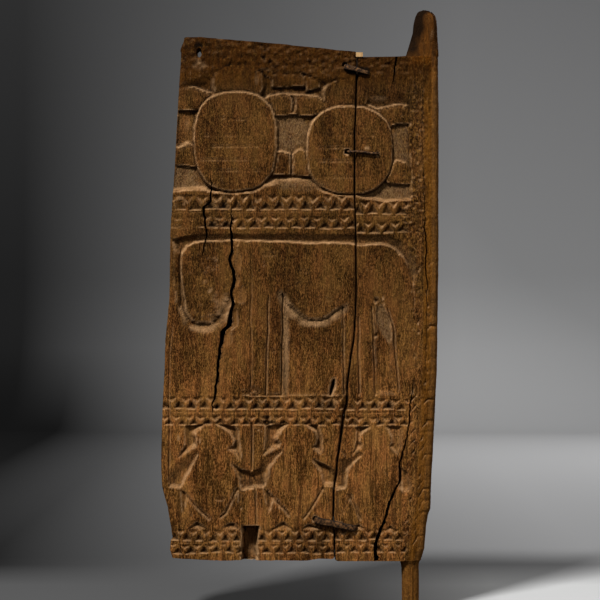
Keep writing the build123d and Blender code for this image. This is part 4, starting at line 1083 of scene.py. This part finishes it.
# The tie hole: a drop-shaped funnel, wider in front than behind, taken out of the head's corner.
def cutTieHole(plank):
    middleX, middleZ = -339.5, 889.0
    placeCount = 40
    turn = np.arange(placeCount) / placeCount * 2 * np.pi
    outlineX = 4.6 * np.cos(turn) * (1.0 - 0.35 * np.clip(np.sin(turn), 0, 1) ** 2)
    outlineZ = 7.8 * np.sin(turn)
    depths = np.array((-26.0, -18.0, -15.5, 0.0, 20.0))
    spread = np.array((1.3, 1.25, 1.0, 0.74, 0.6))
    rings = np.stack(np.broadcast_arrays(middleX + outlineX * spread[:, None], depths[:, None],
                                         middleZ + outlineZ * spread[:, None]), axis=-1)
    index = np.arange(len(depths) * placeCount).reshape(-1, placeCount)
    following = np.roll(index, -1, axis=1)
    faces = np.stack([index[:-1], index[1:], following[1:], following[:-1]], axis=-1).reshape(-1, 4).tolist()
    faces += [index[0].tolist(), index[-1][::-1].tolist()]
    mesh = bpy.data.meshes.new("tieHoleCutter")
    mesh.from_pydata((rings.reshape(-1, 3) * mm).tolist(), [], faces)
    cutter = addObject("tieHoleCutter", mesh)
    modifier = plank.modifiers.new("tieHole", "BOOLEAN")
    modifier.operation, modifier.object, modifier.solver = "DIFFERENCE", cutter, "MANIFOLD"
    bpy.context.view_layer.update()
    result = bpy.data.meshes.new_from_object(plank.evaluated_get(bpy.context.evaluated_depsgraph_get()))
    plank.modifiers.clear()
    print("tie hole:", len(plank.data.polygons), "faces before,", len(result.polygons), "after")
    plank.data = result
    bpy.data.objects.remove(cutter)


cutTieHole(widePlank)


# Rings of points, each in its direction from the ring's centre and at the radius given for it.
def ringPoints(directions, centreX, radius):
    return np.stack([centreX + radius * np.cos(directions), radius * np.sin(directions)], axis=-1)


pegSet = dict(z=(-4.0, -3.2, 0.5, 13, 48, 62, 69, 73.5),
              radius=(8.0, 12.2, 13.8, 13.8, 14.0, 14.0, 14.6, 16.2),
              middle=(0.0, 0.0, 0.0, 0.0, 0.0, -0.4, -0.8, -0.9), rows=44, centre=-0.9)
hornSet = dict(
    z=(884.5, 899, 911.4, 922.7, 934.4, 942, 949.3, 954.9, 957.2, 958.0),
    left=(-7.6, -3.2, 0.4, 3.6, 4.6, 6.0, 8.0, 10.8, 13.2, 16.0),
    right=(45.4, 45.2, 44.6, 43.9, 43.5, 42.8, 40.4, 36.0, 31.0, 26.0), rows=40, centre=19.0, facet=0.42,
)


# Horn section: a superellipse between its left and right edge whose front left part is planed off flat,
# so that the arris stands at a share of the width.
def hornRadius(directions, width, depth, sharpness, facet, planing):
    c, s = np.cos(directions), np.sin(directions)
    radius = (np.abs(c / (width / 2)) ** sharpness + np.abs(s / depth) ** sharpness) ** (-1.0 / sharpness)
    arrisX, arrisY = width * (facet - 0.5), -depth * 0.98
    edgeX, edgeY = -width / 2, depth * (planing - 0.9)
    normalX, normalY = edgeY - arrisY, arrisX - edgeX
    facing = -(normalX * c + normalY * s)
    planed = -(normalX * arrisX + normalY * arrisY) / np.maximum(facing, 1e-6)
    return np.where(facing > 1e-6, np.minimum(radius, planed), radius)


# The pivot plank: the same loops from the face over the rounded stile and the back to the joint's side,
# with the rings of the peg below them and those of the horn above.
def buildPivotPlank():
    given = doorSet
    rows = rowHeights(faceStretches + [(862, given["pivotHeadZ"], 1.45)])
    chatter = 0.5 * lineNoise(rows, 7.0, 19.0, 71) + 0.25 * lineNoise(rows, 2.6, 25.0, 72)
    edge = valueAt(stileEdge, rows) - np.abs(chatter) * 0.5
    gap, left = jointSide(rows, 1, chatter)
    shoulder = edge - given["stileRound"]
    guides = [crackGuide("footCrack", rows), crackGuide("stileCheck", rows)]
    guides[1]["x"] = np.minimum(guides[1]["x"], shoulder - 3.5)
    lines = [scoredGuide(name, rows) for name in ("firstFlank", "secondFlank", "tail")]
    x = acrossFace(left + 2.6, shoulder, lines + guides, (12, 12, 12, 18, 30, 12))
    x = np.concatenate([left[:, None] + np.array((0.0, 0.4, 1.2)), x], axis=1)
    z = np.repeat(rows[:, None], x.shape[1], axis=1)
    depth, wearAndHighlight, dirtAndShade, dust = finishedFace(x, z, 1, lines, guides)
    frontY = given["faceY"] + depth
    frontY += given["jointStep"] * fade((x - x[:, :1]) / given["jointStep"])
    # The stile's face falls away a little towards its outer edge.
    frontY += 2.2 * ease((x - (edge[:, None] - 30.0)) / 22.0)
    # Just below the horn the face runs into the horn's own section.
    joining = ease((z - 858.0) / 22.0) * ease((x + 4.0) / 9.0)
    hornMiddleX, hornHalfWidth, hornDepth = 18.9, 26.6, 18.2
    hornFront = -hornDepth * clipped(1.0 - np.abs((x - hornMiddleX) / hornHalfWidth) ** 5) ** 0.2
    frontY = frontY + (hornFront - frontY) * joining
    wearAndHighlight, dirtAndShade = wearAndHighlight * (1.0 - joining), dirtAndShade * (1.0 - 0.7 * joining)
    front = np.stack([x, frontY, z], axis=-1)

    # Rounded side: a superellipse quarter in front and another behind.
    roundPlaces, backPlaces, sidePlaces = 15, 30, 5
    turn = np.linspace(0.0, np.pi, roundPlaces + 2)[1:-1]
    c, s = np.cos(turn), np.sin(turn)
    lastY = given["stileBackY"] - 0.8
    halfDepth, middleY = (lastY - frontY[:, -1]) / 2, (lastY + frontY[:, -1]) / 2
    sideX = shoulder[:, None] + given["stileRound"] * np.abs(s)[None, :] ** 0.8
    sideY = middleY[:, None] - halfDepth[:, None] * signedPower(c, 0.75)[None, :]
    sideZ = np.repeat(rows[:, None], roundPlaces, axis=1)
    uneven = 0.35 * valueNoise(sideZ / 30.0, sideY / 9.0, 73)
    uneven += 0.25 * valueNoise(sideZ / 17.0, sideY / 7.0, 77)
    sideX += uneven - 0.65
    rightSide = np.stack([sideX, sideY, sideZ], axis=-1)

    # Back: the panel's thickness up to the stile, which is thicker, and the joint closed behind.
    closing = gap / 2 - given["backGap"]
    closedX = (left - closing)[:, None]
    backX = shoulder[:, None] + (closedX - shoulder[:, None]) * np.linspace(0.0, 1.0, backPlaces)
    thick = ease((backX + 14.0) / 12.0)
    backY = given["backY"] + (given["stileBackY"] - given["backY"]) * thick
    backZ = np.repeat(rows[:, None], backPlaces, axis=1)
    backY = backY - adzedBack(backX, backZ) - 2.0 * fade((backX - closedX) / 2.5)
    back = np.stack([backX, backY, backZ], axis=-1)
    steps = np.linspace(0.0, 1.0, sidePlaces + 2)[1:-1]
    leftSide = back[:, -1][:, None] + (front[:, 0] - back[:, -1])[:, None] * steps[None, :, None]
    leftSide[:, :, 0] = left[:, None] - closing[:, None] * ease(2.2 - 2.2 * steps)[None, :]
    body = np.concatenate([front, rightSide, back, leftSide], axis=1)
    placeCount = body.shape[1]

    # Pivots: rings whose points keep the body's own directions beside it and are spread evenly beyond.
    def rings(row, given, radiusAt, upwards):
        own = np.unwrap(np.arctan2(row[:, 1], row[:, 0] - given["centre"]))
        even = own[0] + np.sign(own[-1] - own[0]) * np.arange(placeCount) * 2 * np.pi / placeCount
        steps = np.linspace(0.0, 1.0, given["rows"])
        heights = np.interp(steps, np.linspace(0, 1, len(given["z"])), given["z"])
        share = ease((steps if upwards else 1 - steps) * 2.2)
        spread = own[None, :] * (1 - share[:, None]) + even[None, :] * share[:, None]
        grid = np.repeat(heights[:, None], placeCount, axis=1)
        return np.concatenate([radiusAt(grid, spread), grid[:, :, None]], axis=2)

    # Peg: its radius at each height, a little fluted.
    def pegAt(heights, directions):
        flutes = valueNoise(directions * 3.0 + 40.0, heights / 30.0, 74)
        radius = valueAt(pegSet, heights, "radius") * (1.0 - 0.035 * np.abs(flutes))
        return ringPoints(directions, valueAt(pegSet, heights, "middle"), radius)

    # Horn: its section at each height, from nearly square to nearly round, with long grain.
    def hornAt(heights, directions):
        leftX, rightX = valueAt(hornSet, heights, "left"), valueAt(hornSet, heights, "right")
        depthHere = 18.6 * np.sqrt(np.clip(1.0 - ((heights - 930.0) / 33.0).clip(0) ** 2, 0.05, 1.0))
        rise = ease((heights - 884.0) / 26.0)
        sharpness, planing = 5.0 - 2.4 * rise, 0.3 + 0.7 * rise
        radius = hornRadius(directions, rightX - leftX, depthHere, sharpness, hornSet["facet"], planing)
        grain = valueNoise(directions * 9.0 + 60.0, heights / 40.0, 75)
        return ringPoints(directions, (rightX + leftX) / 2, radius - 0.4 - 0.35 * grain)

    peg = rings(body[0], pegSet, pegAt, False)
    horn = rings(body[-1], hornSet, hornAt, True)
    # Between peg and body lies one ring, a little inside the body's first row.
    footRing, inset = body[:1].copy(), 0.015
    footRing[0, :, :2] = footRing[0, :, :2] * (1.0 - inset) + np.array((pegSet["centre"], 0.0)) * inset
    footRing[0, :, 2] -= 1.2
    points = np.concatenate([peg, footRing, body, horn], axis=0)

    # Values for all loops and rings, in the order of their points.
    def around(frontValues, roundValue, sideValue, backValue, pegValue, hornValue):
        middle = np.concatenate([
            frontValues, np.full((len(rows), roundPlaces), roundValue),
            np.broadcast_to(backValue, backX.shape), np.full((len(rows), sidePlaces), sideValue)], axis=1)
        return np.concatenate([np.full((len(peg) + 1, placeCount), pegValue), middle,
                               np.full((len(horn), placeCount), hornValue)], axis=0)

    strip = np.maximum(ease((x - (edge[:, None] - 27.0)) / 5.0), joining)
    strip = np.maximum(strip, 0.6 * ease((z - 826.0) / 30.0))
    hornX, hornZ = horn[:, :, 0], horn[:, :, 2]
    hornShare = (hornX - hornX.min(axis=1, keepdims=True)) / np.ptp(hornX, axis=1, keepdims=True)
    # The horn is darkened over its left facet and its tip, less towards its foot, and in a band near its
    # right edge.
    unevenDark = 0.25 * valueNoise(hornX / 7.0, hornZ / 16.0, 76)
    darkening = 0.36 + ease((0.68 + unevenDark - hornShare) / 0.56) * 0.75 + ease((hornZ - 950.0) / 6.0) * 0.6
    darkening *= 0.75 + 0.25 * ease((hornZ - 882.0) / 26.0)
    darkening += ease((hornShare - 0.8) / 0.06) * ease((0.93 - hornShare) / 0.04) * 0.45
    pegSoot = ease((0.45 - np.abs(peg[:, :, 0] - 3.5) / 3.0) * 3.0) * (peg[:, :, 1] < 0) * 0.85
    backDirt = 0.9 * fade((backX - closedX) / 2.2)
    attributes = dict(
        wearAndHighlight=around(wearAndHighlight, 0.08, 0.1, 0.05, 0.05, 0.05), dirtAndShade=around(dirtAndShade, 0.0, 0.25, backDirt, 0.05, 0.05),
        dust=around(dust, 0.0, 0.0, 0.15, 0.0, 0.0), stile=around(strip * 0.75, 0.85, 0.0, 0.1, 0.8, 0.9),
        hewn=around(hewnShare(x, z) * (1.0 - 0.15 * strip), 0.6, 0.3, 0.4, 0.6, 0.3),
    )
    attributes["dirtAndShade"][-len(horn):] = np.clip(darkening, 0.0, 0.96)
    # Painted highlight: a pale streak down the horn's front.
    streak = ovalRadius(hornX, hornZ, (34.0, 918.0), (2.0, 9.0))
    attributes["wearAndHighlight"][-len(horn):] = 0.05 + 0.55 * fade((streak - 0.5) / 0.6) * (horn[:, :, 1] < 0)
    attributes["dirtAndShade"][:len(peg)] = pegSoot
    loopMesh("pivotPlank", points, attributes, carvedWood, "pivot_plank")


buildPivotPlank()


# The staples: node, middle on the face, span across the joint, slant and section.
stapleSet = dict(
    stapleTop=dict(node="staple_top", middle=(-86.5, 861.0), span=39.0, slant=15.5, width=8.8, thickness=4.0,
                   clinch=14.0, taper=0.3, wire=False),
    stapleBottom=dict(node="staple_bottom", middle=(-120.5, 134.0), span=65.0, slant=12.0, width=11.5,
                      thickness=5.0, clinch=14.0, taper=0.12, wire=False),
    stapleMiddle=dict(node="staple_middle", middle=(-76.5, 728.6), span=49.0, slant=5.0, width=4.2,
                      thickness=4.2, clinch=14.0, taper=0.0, wire=True),
)


# Bar carried along a path: the path is a superellipse in the plane across the joint, open where the two
# clinched tips face each other; the section is a superellipse set square to it.
def buildStaple(name, given):
    seat, opening, power = 0.3, 0.02, 2.0 / 9.0
    halfBar, half = given["thickness"] / 2, given["span"] / 2
    frontY = doorSet["faceY"] - seat - halfBar
    backY = doorSet["backY"] + seat + halfBar
    height = (backY - frontY) / 2
    turn = np.linspace(-np.pi / 2 + opening, 1.5 * np.pi - opening, 3000)
    c, s = np.cos(turn), np.sin(turn)
    pathS = -half * signedPower(c, power)
    pathY = (frontY + backY) / 2 - height * signedPower(s, power)
    keep = ~((pathY > backY - 0.05 * height) & (np.abs(pathS) < half - given["clinch"]))
    pathS, pathY = pathS[keep], pathY[keep]
    lengths = np.concatenate([[0.0], np.cumsum(np.hypot(np.diff(pathS), np.diff(pathY)))])
    steps = np.linspace(0.0, lengths[-1], 150)
    pathS, pathY = np.interp(steps, lengths, pathS), np.interp(steps, lengths, pathY)
    slant = np.radians(given["slant"])
    along = np.array((np.cos(slant), 0.0, -np.sin(slant)))
    across = np.array((np.sin(slant), 0.0, np.cos(slant)))
    onFace = ease((doorSet["faceY"] + 2.0 - pathY) / 4.0)
    sway = (1.1 if given["wire"] else 0.3) * lineNoise(pathS, 11.0, 2.0, 81) * onFace
    centre = np.array((given["middle"][0], 0.0, given["middle"][1]))
    inward = np.array((0.0, 1.0, 0.0))
    path = centre + pathS[:, None] * along + sway[:, None] * across + pathY[:, None] * inward
    tangent = np.gradient(path, axis=0)
    tangent /= np.linalg.norm(tangent, axis=1)[:, None]
    outward = np.cross(tangent, across)
    outward /= np.linalg.norm(outward, axis=1)[:, None]
    placeCount = 20
    turnRound = np.arange(placeCount) / placeCount * 2 * np.pi
    sectionPower = 1.0 if given["wire"] else 0.45
    c, s = np.cos(turnRound), np.sin(turnRound)
    sectionX, sectionY = signedPower(c, sectionPower), signedPower(s, sectionPower)
    ends = np.minimum(steps, steps[-1] - steps)
    tip = np.sqrt(np.clip(ends / 6.0, 0.06, 1.0))
    wide = given["width"] / 2 * (1.0 - given["taper"] * ease((pathS + half) / (2 * half))) * tip
    thick = halfBar * np.clip(tip, 0.3, 1.0)
    dents = 1.0 - 0.07 * np.abs(valueNoise(steps[:, None] / 4.0, turnRound[None, :] * 1.3 + 5.0, 82))
    points = (path[:, None] + (wide[:, None] * sectionX * dents)[:, :, None] * across
              + (thick[:, None] * sectionY * dents)[:, :, None] * outward[:, None])
    # The bar's edges are black, as black scale and painted shade, and flaking patches are black with scale.
    flaking = 0.3 * (np.abs(lineNoise(steps, 3.0, 0.0, 83)) > 0.5)
    scale = np.clip(0.9 * ease((np.abs(sectionX) - 0.72) / 0.2)[None, :] + flaking[:, None], 0.0, 0.95)
    loopMesh(name, points, dict(dirtAndShade=scale), forgedIron, given["node"])


for name, given in stapleSet.items():
    buildStaple(name, given)

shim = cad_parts["joint_shim"]
shim.data.materials.clear()
shim.data.materials.append(paleWood)
print("staples and shim made")


# The tones of the backdrop are given at their left and right ends: the floor under the door, the floor
# near and far behind it, the wall and the wall's top. They are painted light and shade, dark at the left and
# light at the right, with a painted shadow on the floor under the door. Light that isn't seen directly gets
# the bounce tone.
stageSet = dict(
    floorZ=-4.0, wallY=4600.0, nearY=-4600.0, halfWidth=6000.0, wallTop=5200.0, sweep=600.0,
    floor=((0.05, 0.05, 0.05), (0.37, 0.37, 0.367)), near=((0.001, 0.001, 0.001), (0.155, 0.155, 0.156)),
    far=((0.004, 0.004, 0.004), (0.28, 0.28, 0.282)), wall=((0.008, 0.008, 0.0081), (0.33, 0.33, 0.332)),
    top=((0.03, 0.03, 0.0302), (0.19, 0.19, 0.192)), bounce=(0.05, 0.05, 0.05),
)


# Backdrop paper: each part's tone runs from left to right as painted light and shade, and the parts run into
# one another behind the door and up the wall. The camera sees these painted tones; all other rays see the
# plain bounce tone.
def makePaper(name, given):
    material, tree, shader, place = newMaterial(name, 0.1)
    parts = addNode(tree, "ShaderNodeSeparateXYZ", {"Vector": place}).outputs
    floorTone, nearTone, farTone, wallTone, topTone = [
        mixed(tree, ranged(tree, parts["X"], leftX, rightX), *given[key]) for key, leftX, rightX in (
            ("floor", -0.12, 0.16), ("near", -0.78, 0.4), ("far", -1.1, 0.2), ("wall", -1.3, 0.47),
            ("top", -1.3, 0.47))]
    wallTone = mixed(tree, ranged(tree, parts["Z"], 0.1, 1.7), wallTone, topTone)
    seen = mixed(tree, ranged(tree, parts["Y"], 0.25, 0.5), floorTone, nearTone)
    seen = mixed(tree, ranged(tree, parts["Y"], 0.6, 4.0), seen, farTone)
    seen = mixed(tree, ranged(tree, parts["Z"], 0.0, 0.3), seen, wallTone)
    direct = addNode(tree, "ShaderNodeLightPath", {}).outputs["Is Camera Ray"]
    setSocket(tree, shader.inputs["Base Color"], mixed(tree, direct, given["bounce"], seen))
    shader.inputs["Roughness"].default_value = 0.9
    return material


# Floor and wall in one sheet: the profile runs along the floor, round a quarter circle and up the wall.
def buildStage(given):
    sweep, wallY = given["sweep"], given["wallY"]
    bend = np.linspace(0.0, np.pi / 2, 24)
    profileY = np.concatenate([[given["nearY"]], wallY - sweep + sweep * np.sin(bend), [wallY]])
    profileZ = np.concatenate([[0.0], sweep * (1 - np.cos(bend)), [given["wallTop"]]]) + given["floorZ"]
    across = np.array((-given["halfWidth"], given["halfWidth"]))
    points = np.stack(np.broadcast_arrays(across[None, :], profileY[:, None], profileZ[:, None]),
                      axis=-1) * mm
    index = np.arange(points.shape[0] * 2).reshape(-1, 2)
    faces = np.stack([index[:-1, 0], index[:-1, 1], index[1:, 1], index[1:, 0]], axis=-1)
    mesh = bpy.data.meshes.new("studioSweep")
    mesh.from_pydata(points.reshape(-1, 3).tolist(), [], faces.tolist())
    mesh.polygons.foreach_set("use_smooth", np.ones(len(mesh.polygons), bool))
    mesh.materials.append(makePaper("studioPaper", given))
    sheet = addObject("studioSweep", mesh)


buildStage(stageSet)

# The key stands high on the left, the fill low on the right, and the back lamp lights the back.
lightSet = dict(
    key=dict(place=(-1.9, -2.7, 4.9), power=580.0, size=0.8),
    fill=dict(place=(2.8, -2.2, 1.4), power=26.0, size=1.6),
    back=dict(place=(1.5, 3.4, 2.2), power=92.0, size=1.0),
)
for name, given in lightSet.items():
    lampData = bpy.data.lights.new(name, "AREA")
    lampData.energy, lampData.size = given["power"], given["size"]
    lamp = addObject(name, lampData)
    lamp.location = given["place"]
    toDoor = Vector((-0.18, 0.0, 0.45)) - lamp.location
    lamp.rotation_euler = toDoor.to_track_quat("-Z", "Y").to_euler()

world = bpy.data.worlds.new("studio")
world.use_nodes = True
background = world.node_tree.nodes["Background"]
background.inputs["Color"].default_value = (1.0, 1.0, 1.0, 1.0)
background.inputs["Strength"].default_value = 0.09
bpy.context.scene.world = world
bpy.context.scene.view_settings.view_transform = "Standard"
